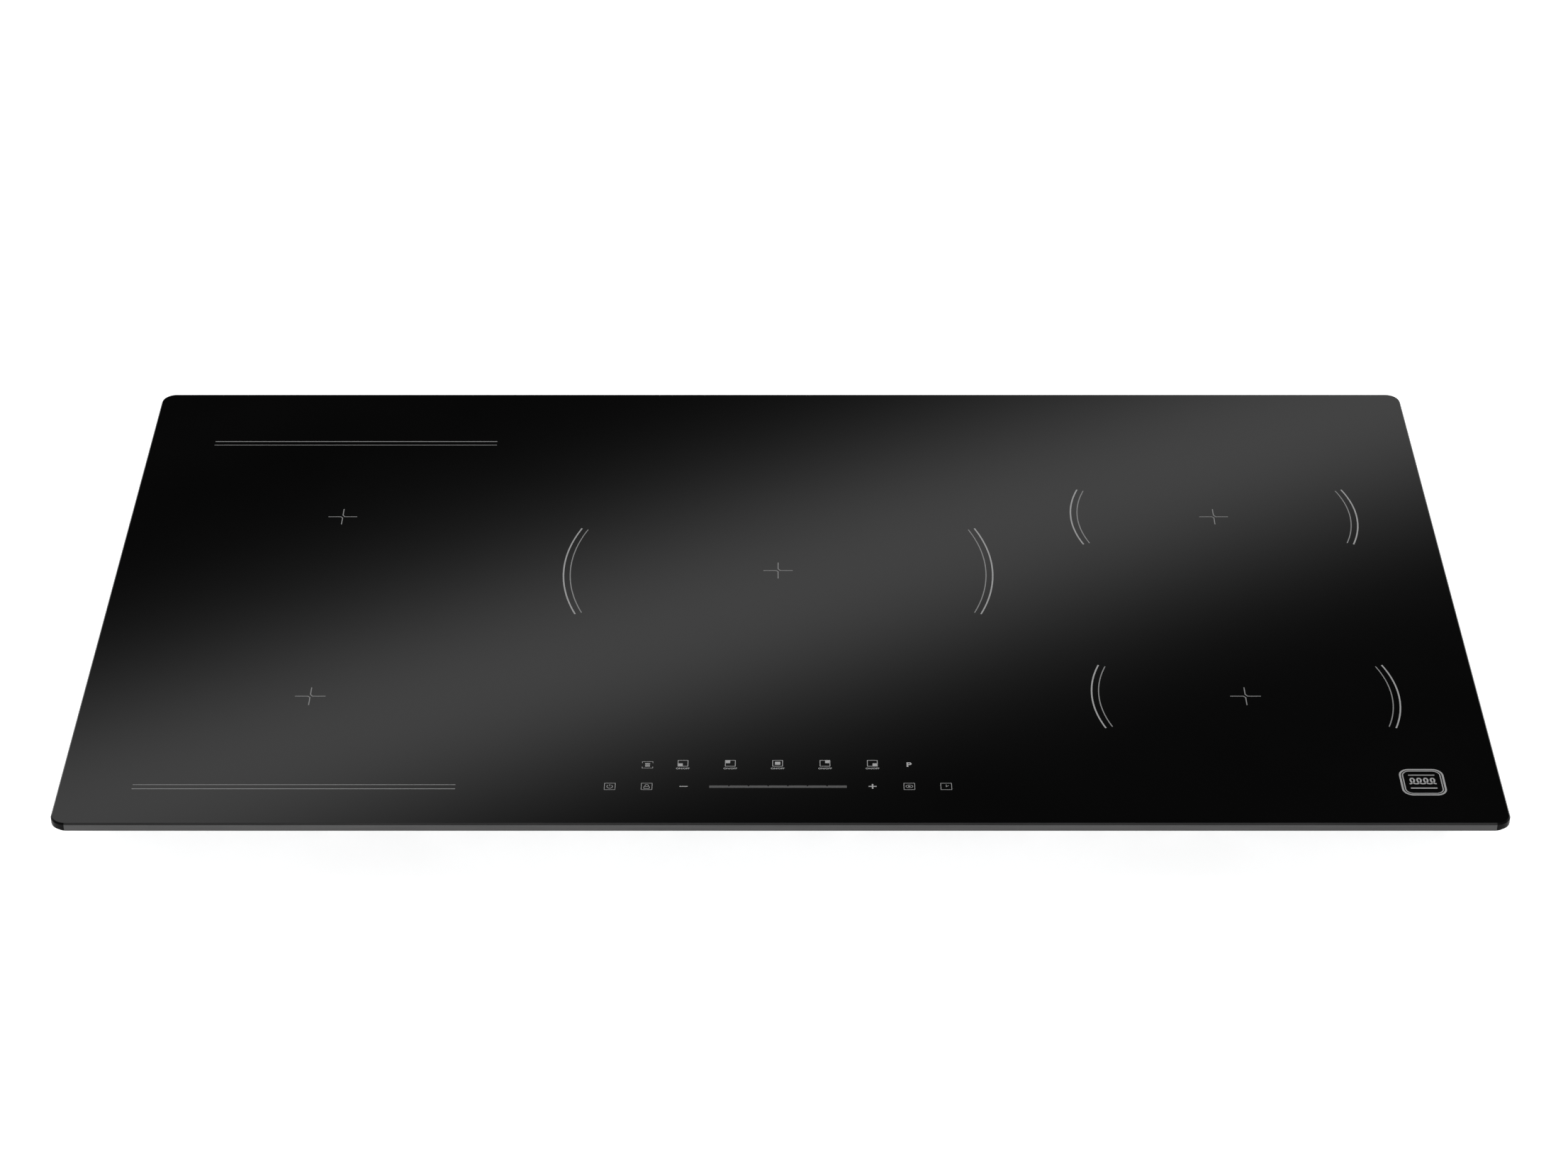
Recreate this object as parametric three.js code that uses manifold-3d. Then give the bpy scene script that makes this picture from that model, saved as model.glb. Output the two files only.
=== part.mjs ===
// A built-in induction cooktop with five zones, in millimetres, +Z up.
// The origin is under the middle of the glass, on the plane of the base pan's underside.
// A ceramic glass rests on the worktop by its seal, and a sheet-steel pan hangs below it in
// the cut-out. Coils on sprung carrier plates press up against the glass, and the power
// electronics, blowers and mains terminals lie on the floor of the pan.
import * as THREE from "three";
import { mergeVertices } from "three/addons/utils/BufferGeometryUtils.js";
import Module from "manifold-3d";

const wasm = await Module();
wasm.setup();

// ---------------------------------------------------------------- driving dimensions

const GAP = 0.3; // clearance between pieces that lie against each other
const CORNER_SEGMENTS = 8; // in each rounded corner of the glass
const SHEET_SEGMENTS = 4; // in each rounded corner of a sheet or a coil
const COIL_SIDES = 48;
const ROUND_SIDES = 20;
const POST_SIDES = 12;
const BOSS_SIDES = 8;

const GLASS_WIDTH = 896;
const GLASS_DEPTH = 519;
const GLASS_THICKNESS = 5;
const GLASS_CORNER = 10;
const GLASS_BEVEL = 1;
const GLASS_UNDER_BEVEL = 0.3;

const WORKTOP_Z = 45; // underside of the seal, which is the top of the worktop
const SEAL_THICKNESS = 2;
const SEAL_INSET = 1.6;
const SEAL_WIDTH = 9;
const GLASS_Z = WORKTOP_Z + SEAL_THICKNESS;

const SHEET = 1; // steel sheet of the pan
const PAN_WIDTH = 860;
const PAN_DEPTH = 482;
const PAN_CORNER = 8;
const PAN_TOP = GLASS_Z - 0.5;
const PAN_RIM_Z = 34; // lower end of the shallow front wall
const SLANT_FOOT_Y = -195; // where the slanted front wall reaches the floor
const PAN_REAR_Y = PAN_DEPTH / 2;
const REAR_WALL_CUT = [PAN_REAR_Y - 3, PAN_REAR_Y + 1]; // from inside the rear wall to outside it
const FLOOR_Z = SHEET + GAP; // where a piece stands on the floor of the pan

// Air slots in rows of equal ones: under each blower, in the rear wall and in the slanted wall.
const SLOT_COUNT = 7;
const SLOT_WIDTH = 4;
const SLOT_PITCH = 12;
const INLET_SLOT_PITCH = 6;
const REAR_SLOT_Z = [12, 32];
const FRONT_SLOT_Y = [-232, -212];
const FRONT_SLOT_Z = [5, 33];

const FRAME_SHEET = 1.2;
const FRAME_FLANGE = 10;
const FRAME_LIP_Z = 39.4;

// The five zones: their pitch, and their rows, from the middle of the glass.
const ZONE_MIDDLE_X = -1.8;
const ZONE_PITCH_X = 300;
const REAR_ROW_Y = 92.7;
const FRONT_ROW_Y = -123.3;
const CENTER_ROW_Y = 24.7;
const LEFT_X = ZONE_MIDDLE_X - ZONE_PITCH_X;
const RIGHT_X = ZONE_MIDDLE_X + ZONE_PITCH_X;

const BIG_COIL_RADIUS = 136;
const SMALL_COIL_RADIUS = 90;
const SQUARE_COIL_SIDE = 194;
const SQUARE_COIL_CORNER = 36;
const COIL_BORE = 25; // radius of the free middle of a round winding
const SQUARE_BORE_SIDE = 56;
const SQUARE_BORE_CORNER = 20;

// The layers between the carrier plate and the glass, from the glass down.
const MICA_THICKNESS = 1;
const WINDING_THICKNESS = 5.8;
const FORMER_THICKNESS = 2.5;
const FERRITE_THICKNESS = 3.7;
const PLATE_THICKNESS = 1.5;
const MICA_Z = GLASS_Z - GAP - MICA_THICKNESS;
const WINDING_Z = MICA_Z - GAP - WINDING_THICKNESS;
const FORMER_Z = WINDING_Z - GAP - FORMER_THICKNESS;
const FERRITE_Z = FORMER_Z - GAP - FERRITE_THICKNESS;
const PLATE_Z = FERRITE_Z - GAP - PLATE_THICKNESS;

const SIDE_PLATE_WIDTH = 216;
const CENTER_PLATE_WIDTH = 296;
const PLATE_CORNER = 6;
const SIDE_PLATE_Y = [-226, 205];
const CENTER_PLATE_Y = [-125, 175];
const SIDE_MICA_Y = [-224, 198];
const MICA_WINDOW = 10; // radius of the hole over a probe
const LEAD_HOLE = 5; // radius of the holes for a coil's two leads
const LEAD_HOLE_PLACE = [26, 11]; // from the middle of the coil

const BARS = 8; // ferrite bars in a star
const BAR_WIDTH = 7;
const STAR_RING = [12, 18]; // inner and outer radius of the ring that joins the bars
const STAR_MARGIN = 6; // from the end of a bar to the edge of its coil
const FORMER_WINDOW_START = 34; // from the middle of the coil
const FORMER_WINDOW_WIDTH = 10;

const PROBE_FOOT_RADIUS = 9;
const PROBE_FOOT_HEIGHT = 1.5;
const PROBE_STEM_RADIUS = 4;
const PROBE_HEAD_RADIUS = 8;
const PROBE_HEAD_HEIGHT = 2;

const SPRING_REACH = 20; // half of the arch of a leaf spring
const SPRING_FOOT = 6;
const SPRING_SHEET = 0.8;
const SPRING_WIDTH = 12;
const SPRING_HEIGHT = PLATE_Z - GAP - FLOOR_Z;
const SIDE_SPRING_Y = [165, -165];
const SIDE_SPRING_REAR_X = [-335, 345];
const CENTER_SPRING_Y = [150, -100];

const BOARD_Z = 7;
const BOARD_THICKNESS = 1.6;
const BOSS_RADIUS = 3.5;
const BOSS_INSET = 6; // from the edges of a board

// Parts soldered to the boards, each as width, depth and height.
const FILM_CAPACITOR = [32, 18, 17];
const INVERTER_RELAY = [28, 14, 15];
const DRIVER = [12, 9, 2.5];
const CONTROLLER = [22, 22, 2];
const FUSE = [8, 26, 9];
const FILTER_RELAY = [20, 16, 15];
const VARISTOR = [4, 14, 14];
const ELECTROLYTIC_RADIUS = 9;
const ELECTROLYTIC_HEIGHT = 16;

const BLOWER_X = 250; // to the left and to the right of the middle
const BLOWER_Y = 165;
const BLOWER_HEIGHT = 23;
const BLOWER_WALL = 1.5;
const SCROLL_START_RADIUS = 37;
const SCROLL_END_RADIUS = 47;
const SCROLL_START_DEG = -80;
const SCROLL_SWEEP_DEG = 280;
const SCROLL_STEPS = 20;
const OUTLET_Y = -50;
const INLET_RADIUS = 24;
const REAR_SLOT_X = [-BLOWER_X, 0, BLOWER_X - 60];
const SPINDLE_RADIUS = 1.5;
const SPINDLE_FOOT = 10;

// The impeller's heights are from the underside of its housing.
const IMPELLER_RADIUS = 32;
const BACK_PLATE_Z = [18, 19.5];
const SHROUD_Z = [3, 4];
const HUB_RADIUS = 8;
const HUB_Z = [7, 19];
const BLADES = 14;
const BLADE_Z = [3.5, 18.5];
const BLADE_ALONG = [-4.5, 4]; // inwards and outwards of the blades' circle
const BLADE_CIRCLE = IMPELLER_RADIUS - 4;
const BLADE_THICKNESS = 1.2;
const BLADE_LEAN = 0.7; // radians

// The inverter board and its heatsink, from the middle of the blower that cools them.
const INVERTER_X = [-138, 52];
const INVERTER_Y = [-305, -57];
const FILM_CAPACITOR_X = -112;
const FILM_CAPACITOR_Y = [-285, -165];
const INVERTER_RELAY_X = -112;
const INVERTER_RELAY_Y = [-110, -75];
const DRIVER_X = -72;
const DRIVER_Y = [-270, -120];
const CONTROLLER_PLACE = [-40, -195];
const ELECTROLYTIC_X = -38;
const ELECTROLYTIC_Y = [-285, -240];
const HEATSINK_X = [5, 47];
const HEATSINK_Y = [-300, -60];
const HEATSINK_BASE = 3;
const HEATSINK_HEIGHT = 18;
const FINS = 8;
const FIN_THICKNESS = 1.6;

const FILTER_X = [-185, -45];
const FILTER_Y = [40, 170];
const FUSE_X = [-170, -155];
const FUSE_Y = 60;
const FILTER_RELAY_X = [-128, -62];
const FILTER_RELAY_Y = 56;
const VARISTOR_X = -58;
const VARISTOR_Y = [84, 108];
const CHOKE_RADIUS = 24;
const CHOKE_BORE = 10;
const CHOKE_HEIGHT = 15;
const CHOKE_PLACE = [-148, 118];
const FILTER_CAPACITOR = [32, 20, 16];
const FILTER_CAPACITOR_CORNER = 2;
const FILTER_CAPACITOR_BEVEL = 1;
const FILTER_CAPACITOR_PLACE = [-90, 140];

const TOUCH_HALF_WIDTH = 120;
const TOUCH_Y = [-229, -187];
const TOUCH_BOARD_Z = 43.8;
const TOUCH_HOLDER_Z = 37.5;
const TOUCH_HOLDER_WALL = 2;
const TOUCH_HOLDER_FLOOR = 1.5;

const TERMINAL_X = 365;
const TERMINAL_WIDTH = 54;
const TERMINAL_POLES = 5;
const TERMINAL_Y = [210, 236];
const TERMINAL_TOP = 20;
const WELL_RADIUS = 3.4;
const WELL_FLOOR_Z = 14;
const WELL_Y = 218;
const WIRE_ENTRY_WIDTH = 6;
const WIRE_ENTRY_DEPTH = 8;
const WIRE_ENTRY_Z = [11, 17];
const WINDOW_WIDTH = 50;
const WINDOW_Z = [8, 32];
const COVER_WIDTH = 60;
const COVER_Z = [4, 33.5];
const COVER_SHEET = 2.5;
const COVER_INNER_Y = PAN_REAR_Y + 1.5;
const HINGE_Y = PAN_REAR_Y + 2.6;
const HINGE_Z = 38;
const BARREL_RADIUS = 2.2;
const BARREL_LENGTH = 52;
const PIN_RADIUS = 1;
const PIN_CLEARANCE = 0.35;
const PIN_OVERHANG = 3; // beyond each end of the barrel
const LUG_THICKNESS = 4;
const LUG_BEHIND = 2.4; // from the axis of the hinge
const LUG_BELOW = 2.4;
const LUG_ABOVE = 2.8;

const GLAND_X = 312;
const GLAND_Z = 20;
const GLAND_BORE = 5.5;
const GLAND_NECK = 7.7;
const GLAND_COLLAR = 10.5;
const GLAND_NUT = 3; // length inside the wall
const GLAND_FLANGE = 5; // length of the full collar outside the wall
const GLAND_REACH = 12; // whole length outside the wall
const GLAND_SIDES = 16;

const CLAMP_X = 412;
const CLAMP_REAR_Y = 190;
const CLAMP_FRONT_Y = -150;
const POCKET_X = 398; // inner wall of a clamp pocket
const POCKET_HEIGHT = 14;
const POCKET_ALONG = [-12, 46]; // from the clamp's screw along the stowed arm
const ARM_LENGTH = 42;
const ARM_WIDTH = 14;
const ARM_Z = 3.4;
const ARM_THICKNESS = 2;
const ARM_LIP = 1;
const ARM_LIP_LENGTH = 4;
const SCREW_RADIUS = 2.4;
const SCREW_HOLE = 2.8;
const SCREW_HEAD_RADIUS = 5;
const SCREW_HEAD_Z = 0.4;
const SCREW_TOP = 20;
const NUT_RADIUS = 5;
const NUT_HEIGHT = 4;

// ---------------------------------------------------------------- shapes and booleans

const TURN = 2 * Math.PI;

function solidOf(geometry) {
  const bare = geometry.index ? geometry.toNonIndexed() : geometry.clone();
  bare.deleteAttribute("normal");
  bare.deleteAttribute("uv");
  const merged = mergeVertices(bare);
  return new wasm.Manifold(
    new wasm.Mesh({
      numProp: 3,
      vertProperties: merged.attributes.position.array,
      triVerts: new Uint32Array(merged.index.array),
    }),
  );
}

function geometryOf(solid) {
  const mesh = solid.getMesh();
  const geometry = new THREE.BufferGeometry();
  geometry.setAttribute("position", new THREE.BufferAttribute(mesh.vertProperties, 3));
  geometry.setIndex(new THREE.BufferAttribute(mesh.triVerts, 1));
  geometry.computeVertexNormals();
  return geometry;
}

function join(pieces) {
  return geometryOf(pieces.map(solidOf).reduce((whole, piece) => whole.add(piece)));
}

function cut(body, tools) {
  const start = solidOf(body);
  return geometryOf(tools.map(solidOf).reduce((rest, tool) => rest.subtract(tool), start));
}

function common(first, second) {
  return geometryOf(solidOf(first).intersect(solidOf(second)));
}

function roundedRectangle(width, depth, radius) {
  const x = width / 2 - radius;
  const y = depth / 2 - radius;
  const shape = new THREE.Shape();
  shape.absarc(x, y, radius, 0, TURN / 4);
  shape.absarc(-x, y, radius, TURN / 4, TURN / 2);
  shape.absarc(-x, -y, radius, TURN / 2, 0.75 * TURN);
  shape.absarc(x, -y, radius, 0.75 * TURN, TURN);
  return shape;
}

function polygon(points) {
  return new THREE.Shape(points.map(([x, y]) => new THREE.Vector2(x, y)));
}

function circle(radius, sides, x = 0, y = 0) {
  const corners = Array.from({ length: sides }, (_, i) => {
    const angle = (TURN * i) / sides;
    return [x + radius * Math.cos(angle), y + radius * Math.sin(angle)];
  });
  return polygon(corners);
}

// A shape raised from one height to another, with this many segments in a quarter of an arc.
function prism(shape, low, high, segments = SHEET_SEGMENTS) {
  const options = { depth: high - low, bevelEnabled: false, curveSegments: segments / 2 };
  return new THREE.ExtrudeGeometry(shape, options).translate(0, 0, low);
}

function box(x, y, z) {
  const block = new THREE.BoxGeometry(x[1] - x[0], y[1] - y[0], z[1] - z[0]);
  return block.translate((x[0] + x[1]) / 2, (y[0] + y[1]) / 2, (z[0] + z[1]) / 2);
}

function post(radius, sides, low, high, x = 0, y = 0) {
  return prism(circle(radius, sides, x, y), low, high);
}

// A shape drawn in the Y-Z plane and stretched along X.
function alongX(shape, from, to) {
  const turn = new THREE.Matrix4().makeBasis(
    new THREE.Vector3(0, 1, 0),
    new THREE.Vector3(0, 0, 1),
    new THREE.Vector3(1, 0, 0),
  );
  return prism(shape, from, to).applyMatrix4(turn);
}

// A shape drawn in the X-Z plane and stretched along Y.
function alongY(shape, from, to) {
  return prism(shape, -to, -from).rotateX(TURN / 4);
}

// A profile of [radius, height] pairs turned about Y; it ends where it starts or on the axis.
function turned(profile, sides) {
  const points = profile.map(([radius, height]) => new THREE.Vector2(radius, height));
  return new THREE.LatheGeometry(points, sides);
}

// A solid through rounded rectangles, each given as [inset, height], from the bottom up.
function roundedStack(width, depth, radius, levels) {
  const rings = levels.map(([inset]) =>
    roundedRectangle(width - 2 * inset, depth - 2 * inset, radius - inset).getPoints(
      CORNER_SEGMENTS / 2,
    ),
  );
  const count = rings[0].length;
  const positions = levels.flatMap(([, z], i) => rings[i].flatMap((p) => [p.x, p.y, z]));
  const faces = [];
  for (let level = 0; level + 1 < levels.length; level += 1) {
    for (let i = 0; i < count; i += 1) {
      const a = level * count + i;
      const b = level * count + ((i + 1) % count);
      faces.push(a, b, b + count, a, b + count, a + count);
    }
  }
  const top = (levels.length - 1) * count;
  THREE.ShapeUtils.triangulateShape(rings[0], []).forEach(([a, b, c]) => {
    faces.push(c, b, a);
    faces.push(top + a, top + b, top + c);
  });
  const geometry = new THREE.BufferGeometry();
  geometry.setAttribute("position", new THREE.Float32BufferAttribute(positions, 3));
  geometry.setIndex(faces);
  geometry.computeVertexNormals();
  return geometry;
}

// A flat ring between two rounded rectangles.
function rectangularRing(width, depth, radius, bar, low, high) {
  const shape = roundedRectangle(width, depth, radius);
  const hole = roundedRectangle(width - 2 * bar, depth - 2 * bar, Math.max(radius - bar, 1));
  shape.holes.push(hole);
  return prism(shape, low, high, CORNER_SEGMENTS);
}

function evenly(count, from, to) {
  return Array.from({ length: count }, (_, i) => from + ((to - from) * i) / (count - 1));
}

// ---------------------------------------------------------------- glass and its frame

function glassTop() {
  return roundedStack(GLASS_WIDTH, GLASS_DEPTH, GLASS_CORNER, [
    [GLASS_UNDER_BEVEL, GLASS_Z],
    [0, GLASS_Z + GLASS_UNDER_BEVEL],
    [0, GLASS_Z + GLASS_THICKNESS - GLASS_BEVEL],
    [GLASS_BEVEL, GLASS_Z + GLASS_THICKNESS],
  ]);
}

function glassSeal() {
  const width = GLASS_WIDTH - 2 * SEAL_INSET;
  const depth = GLASS_DEPTH - 2 * SEAL_INSET;
  const corner = GLASS_CORNER - SEAL_INSET;
  return rectangularRing(width, depth, corner, SEAL_WIDTH, WORKTOP_Z, GLASS_Z);
}

// An angle-section ring: its flange is bonded to the glass and its lip stands inside the pan.
function glassFrame() {
  const width = PAN_WIDTH - 2 * (SHEET + GAP);
  const depth = PAN_DEPTH - 2 * (SHEET + GAP);
  const corner = PAN_CORNER - SHEET - GAP;
  const top = GLASS_Z - GAP;
  return join([
    rectangularRing(width, depth, corner, FRAME_FLANGE, top - FRAME_SHEET, top),
    rectangularRing(width, depth, corner, FRAME_SHEET, FRAME_LIP_Z, top),
  ]);
}

// ---------------------------------------------------------------- base pan

// The pan's side view, drawn in by the given inset on every side but the open top.
function panProfile(inset, top) {
  const front = -PAN_DEPTH / 2 + inset;
  const run = SLANT_FOOT_Y + PAN_DEPTH / 2;
  const slope = PAN_RIM_Z / run;
  const raise = inset * Math.hypot(1, slope);
  const slantAt = (y) => slope * (SLANT_FOOT_Y - y) + raise;
  const foot = SLANT_FOOT_Y + (raise - inset) / slope;
  return polygon([
    [PAN_REAR_Y - inset, top],
    [front, top],
    [front, slantAt(front)],
    [foot, inset],
    [PAN_REAR_Y - inset, inset],
  ]);
}

function panBlock(inset, top) {
  const half = PAN_WIDTH / 2 - inset;
  const outline = roundedRectangle(2 * half, PAN_DEPTH - 2 * inset, PAN_CORNER - inset);
  return common(alongX(panProfile(inset, top), -half, half), prism(outline, -1, top));
}

function clampPlaces() {
  return [-1, 1].flatMap((side) => [
    { side, y: CLAMP_REAR_Y, stow: -1 },
    { side, y: CLAMP_FRONT_Y, stow: 1 },
  ]);
}

// The space of a clamp pocket, grown by a sheet, and reaching this far past the pan's outside.
function pocket({ side, y, stow }, grow, beyond) {
  const xs = [side * (POCKET_X - grow), side * (PAN_WIDTH / 2 + beyond)];
  const ys = POCKET_ALONG.map((along) => y + stow * along);
  return box(
    [Math.min(...xs), Math.max(...xs)],
    [Math.min(...ys) - grow, Math.max(...ys) + grow],
    [-beyond, POCKET_HEIGHT + grow],
  );
}

function clampNut({ side, y }) {
  const top = POCKET_HEIGHT + SHEET + NUT_HEIGHT;
  return post(NUT_RADIUS, BOSS_SIDES, POCKET_HEIGHT, top, side * CLAMP_X, y);
}

function clampHole({ side, y }) {
  const top = POCKET_HEIGHT + SHEET + NUT_HEIGHT + 1;
  return post(SCREW_HOLE, POST_SIDES, POCKET_HEIGHT - 1, top, side * CLAMP_X, y);
}

// The two sides of each slot in a row that is centred on x.
function slotRow(x, pitch) {
  const reach = ((SLOT_COUNT - 1) / 2) * pitch;
  const middles = evenly(SLOT_COUNT, x - reach, x + reach);
  return middles.map((middle) => [middle - SLOT_WIDTH / 2, middle + SLOT_WIDTH / 2]);
}

// Slots across a round grille: each one is a chord of the circle.
function inletSlots(x, y) {
  return slotRow(x, INLET_SLOT_PITCH).map((xs) => {
    const half = Math.sqrt(INLET_RADIUS ** 2 - ((xs[0] + xs[1]) / 2 - x) ** 2);
    return box(xs, [y - half, y + half], [-1, SHEET + 1]);
  });
}

function rearSlots(x) {
  return slotRow(x, SLOT_PITCH).map((xs) => box(xs, REAR_WALL_CUT, REAR_SLOT_Z));
}

function frontSlots(x) {
  return slotRow(x, SLOT_PITCH).map((xs) => box(xs, FRONT_SLOT_Y, FRONT_SLOT_Z));
}

function boardBosses(xs, ys) {
  return [xs[0] + BOSS_INSET, xs[1] - BOSS_INSET].flatMap((x) =>
    [ys[0] + BOSS_INSET, ys[1] - BOSS_INSET].map((y) =>
      post(BOSS_RADIUS, BOSS_SIDES, SHEET / 2, BOARD_Z - GAP, x, y),
    ),
  );
}

function inverterPlace(side) {
  const shift = side * BLOWER_X;
  return {
    xs: INVERTER_X.map((x) => x + shift),
    ys: INVERTER_Y.map((y) => y + BLOWER_Y),
  };
}

function hingeLugs() {
  const half = BARREL_LENGTH / 2 + GAP;
  return [-1, 1].map((side) => {
    const xs = [TERMINAL_X + side * half, TERMINAL_X + side * (half + LUG_THICKNESS)];
    const block = box(
      [Math.min(...xs), Math.max(...xs)],
      [PAN_REAR_Y - SHEET / 2, HINGE_Y + LUG_BEHIND],
      [HINGE_Z - LUG_BELOW, HINGE_Z + LUG_ABOVE],
    );
    const bore = circle(PIN_RADIUS + PIN_CLEARANCE, POST_SIDES, HINGE_Y, HINGE_Z);
    return cut(block, [alongX(bore, xs[0] - 2 * LUG_THICKNESS, xs[0] + 2 * LUG_THICKNESS)]);
  });
}

function basePan() {
  const shell = cut(panBlock(0, PAN_TOP), [panBlock(SHEET, PAN_TOP + 1)]);
  const outer = panBlock(0, PAN_TOP);
  const left = inverterPlace(-1);
  const right = inverterPlace(1);
  const raised = join([
    shell,
    ...clampPlaces().map((place) => common(pocket(place, SHEET, 0), outer)),
    ...clampPlaces().map(clampNut),
    ...boardBosses(left.xs, left.ys),
    ...boardBosses(right.xs, right.ys),
    ...boardBosses(FILTER_X, FILTER_Y),
    ...hingeLugs(),
  ]);
  const window = [TERMINAL_X - WINDOW_WIDTH / 2, TERMINAL_X + WINDOW_WIDTH / 2];
  const glandHole = circle(GLAND_NECK + GAP, GLAND_SIDES, GLAND_X, GLAND_Z);
  return cut(raised, [
    ...clampPlaces().map((place) => pocket(place, 0, 5)),
    ...clampPlaces().map(clampHole),
    ...inletSlots(-BLOWER_X, BLOWER_Y),
    ...inletSlots(BLOWER_X, BLOWER_Y),
    ...REAR_SLOT_X.flatMap(rearSlots),
    ...[-BLOWER_X, BLOWER_X].flatMap(frontSlots),
    box(window, REAR_WALL_CUT, WINDOW_Z),
    alongY(glandHole, ...REAR_WALL_CUT),
  ]);
}

// ---------------------------------------------------------------- coils

// A thin sheet with its own corner radius and round holes given as [radius, x, y].
function sheet(width, ys, corner, thickness, holes) {
  const shape = roundedRectangle(width, ys[1] - ys[0], corner);
  const middle = (ys[0] + ys[1]) / 2;
  holes.forEach(([radius, x, y]) => {
    shape.holes.push(circle(radius, BOSS_SIDES, x, y - middle));
  });
  return prism(shape, 0, thickness).translate(0, middle, 0);
}

function coilPlate(width, ys, rows) {
  const [leadX, leadY] = LEAD_HOLE_PLACE;
  const leads = rows.flatMap((y) =>
    [-1, 1].map((side) => [LEAD_HOLE, side * leadX, y + side * leadY]),
  );
  return sheet(width, ys, PLATE_CORNER, PLATE_THICKNESS, leads);
}

function micaSheet(width, ys, rows) {
  const windows = rows.map((y) => [MICA_WINDOW, 0, y]);
  return sheet(width, ys, PLATE_CORNER, MICA_THICKNESS, windows);
}

function squareCoilOutline() {
  return roundedRectangle(SQUARE_COIL_SIDE, SQUARE_COIL_SIDE, SQUARE_COIL_CORNER);
}

// A window of a former, at an angle round the middle of its coil.
function formerWindow(reach, angle) {
  const across = FORMER_WINDOW_WIDTH / 2;
  const corners = [
    [FORMER_WINDOW_START, -across],
    [reach, -across],
    [reach, across],
    [FORMER_WINDOW_START, across],
  ];
  const turnedCorners = corners.map(([along, side]) => [
    along * Math.cos(angle) - side * Math.sin(angle),
    along * Math.sin(angle) + side * Math.cos(angle),
  ]);
  return polygon(turnedCorners);
}

// The plastic carrier of a winding, with a window between each pair of ferrite bars.
function coilFormer(outline, reach) {
  outline.holes.push(circle(STAR_RING[0], POST_SIDES));
  for (let i = 0; i < BARS; i += 1) {
    outline.holes.push(formerWindow(reach, (TURN * (i + 0.5)) / BARS));
  }
  return prism(outline, 0, FORMER_THICKNESS);
}

function coilWinding(outline, bore) {
  outline.holes.push(bore);
  return prism(outline, 0, WINDING_THICKNESS);
}

function ferriteStar(reach) {
  const [inner, outer] = STAR_RING;
  const ring = circle(outer, POST_SIDES);
  ring.holes.push(circle(inner, POST_SIDES));
  const bars = Array.from({ length: BARS }, (_, i) => {
    const bar = box([(inner + outer) / 2, reach], [-BAR_WIDTH / 2, BAR_WIDTH / 2], [0, FERRITE_THICKNESS]);
    return bar.rotateZ((TURN * i) / BARS);
  });
  return join([prism(ring, 0, FERRITE_THICKNESS), ...bars]);
}

// A probe that stands in the middle of a coil: a foot, a stem and the head under the glass.
function temperatureSensor() {
  const top = WINDING_Z + WINDING_THICKNESS - FERRITE_Z;
  const profile = [
    [0, 0],
    [PROBE_FOOT_RADIUS, 0],
    [PROBE_FOOT_RADIUS, PROBE_FOOT_HEIGHT],
    [PROBE_STEM_RADIUS, PROBE_FOOT_HEIGHT],
    [PROBE_STEM_RADIUS, top - PROBE_HEAD_HEIGHT],
    [PROBE_HEAD_RADIUS, top - PROBE_HEAD_HEIGHT],
    [PROBE_HEAD_RADIUS, top],
    [0, top],
  ];
  return turned(profile, POST_SIDES).rotateX(TURN / 4);
}

// ---------------------------------------------------------------- carrier springs

// A half-elliptic leaf with two flat feet; it stands on the floor and lifts the plate.
function plateSpring() {
  const outer = SPRING_REACH;
  const inner = SPRING_REACH - SPRING_SHEET;
  const footEnd = SPRING_REACH + SPRING_FOOT;
  const shape = new THREE.Shape();
  const step = Math.asin(SPRING_SHEET / SPRING_HEIGHT);
  shape.moveTo(inner, 0);
  shape.lineTo(footEnd, 0);
  shape.lineTo(footEnd, SPRING_SHEET);
  shape.absellipse(0, 0, outer, SPRING_HEIGHT, step, TURN / 2 - step);
  shape.lineTo(-footEnd, SPRING_SHEET);
  shape.lineTo(-footEnd, 0);
  shape.lineTo(-inner, 0);
  shape.absellipse(0, 0, inner, SPRING_HEIGHT - SPRING_SHEET, TURN / 2, 0, true);
  return alongY(shape, -SPRING_WIDTH / 2, SPRING_WIDTH / 2);
}

// ---------------------------------------------------------------- electronics

const BOARD = [0, BOARD_THICKNESS];

// Parts soldered to a board, each given as [x, y, width, depth, height].
function soldered(parts) {
  return parts.map(([x, y, width, depth, height]) =>
    box([x - width / 2, x + width / 2], [y - depth / 2, y + depth / 2], [
      BOARD_THICKNESS / 2,
      BOARD_THICKNESS + height,
    ]),
  );
}

// Equal parts in a column from one y to another.
function column(count, x, [from, to], size) {
  return evenly(count, from, to).map((y) => [x, y, ...size]);
}

function electrolytic(y) {
  const top = BOARD_THICKNESS + ELECTROLYTIC_HEIGHT;
  return post(ELECTROLYTIC_RADIUS, POST_SIDES, BOARD_THICKNESS / 2, top, ELECTROLYTIC_X, y);
}

function inverterBoard() {
  const parts = [
    ...column(4, FILM_CAPACITOR_X, FILM_CAPACITOR_Y, FILM_CAPACITOR),
    ...column(3, INVERTER_RELAY_X, INVERTER_RELAY_Y, INVERTER_RELAY),
    ...column(4, DRIVER_X, DRIVER_Y, DRIVER),
    [...CONTROLLER_PLACE, ...CONTROLLER],
  ];
  return join([
    box(INVERTER_X, INVERTER_Y, BOARD),
    ...soldered(parts),
    ...evenly(3, ...ELECTROLYTIC_Y).map(electrolytic),
  ]);
}

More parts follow.
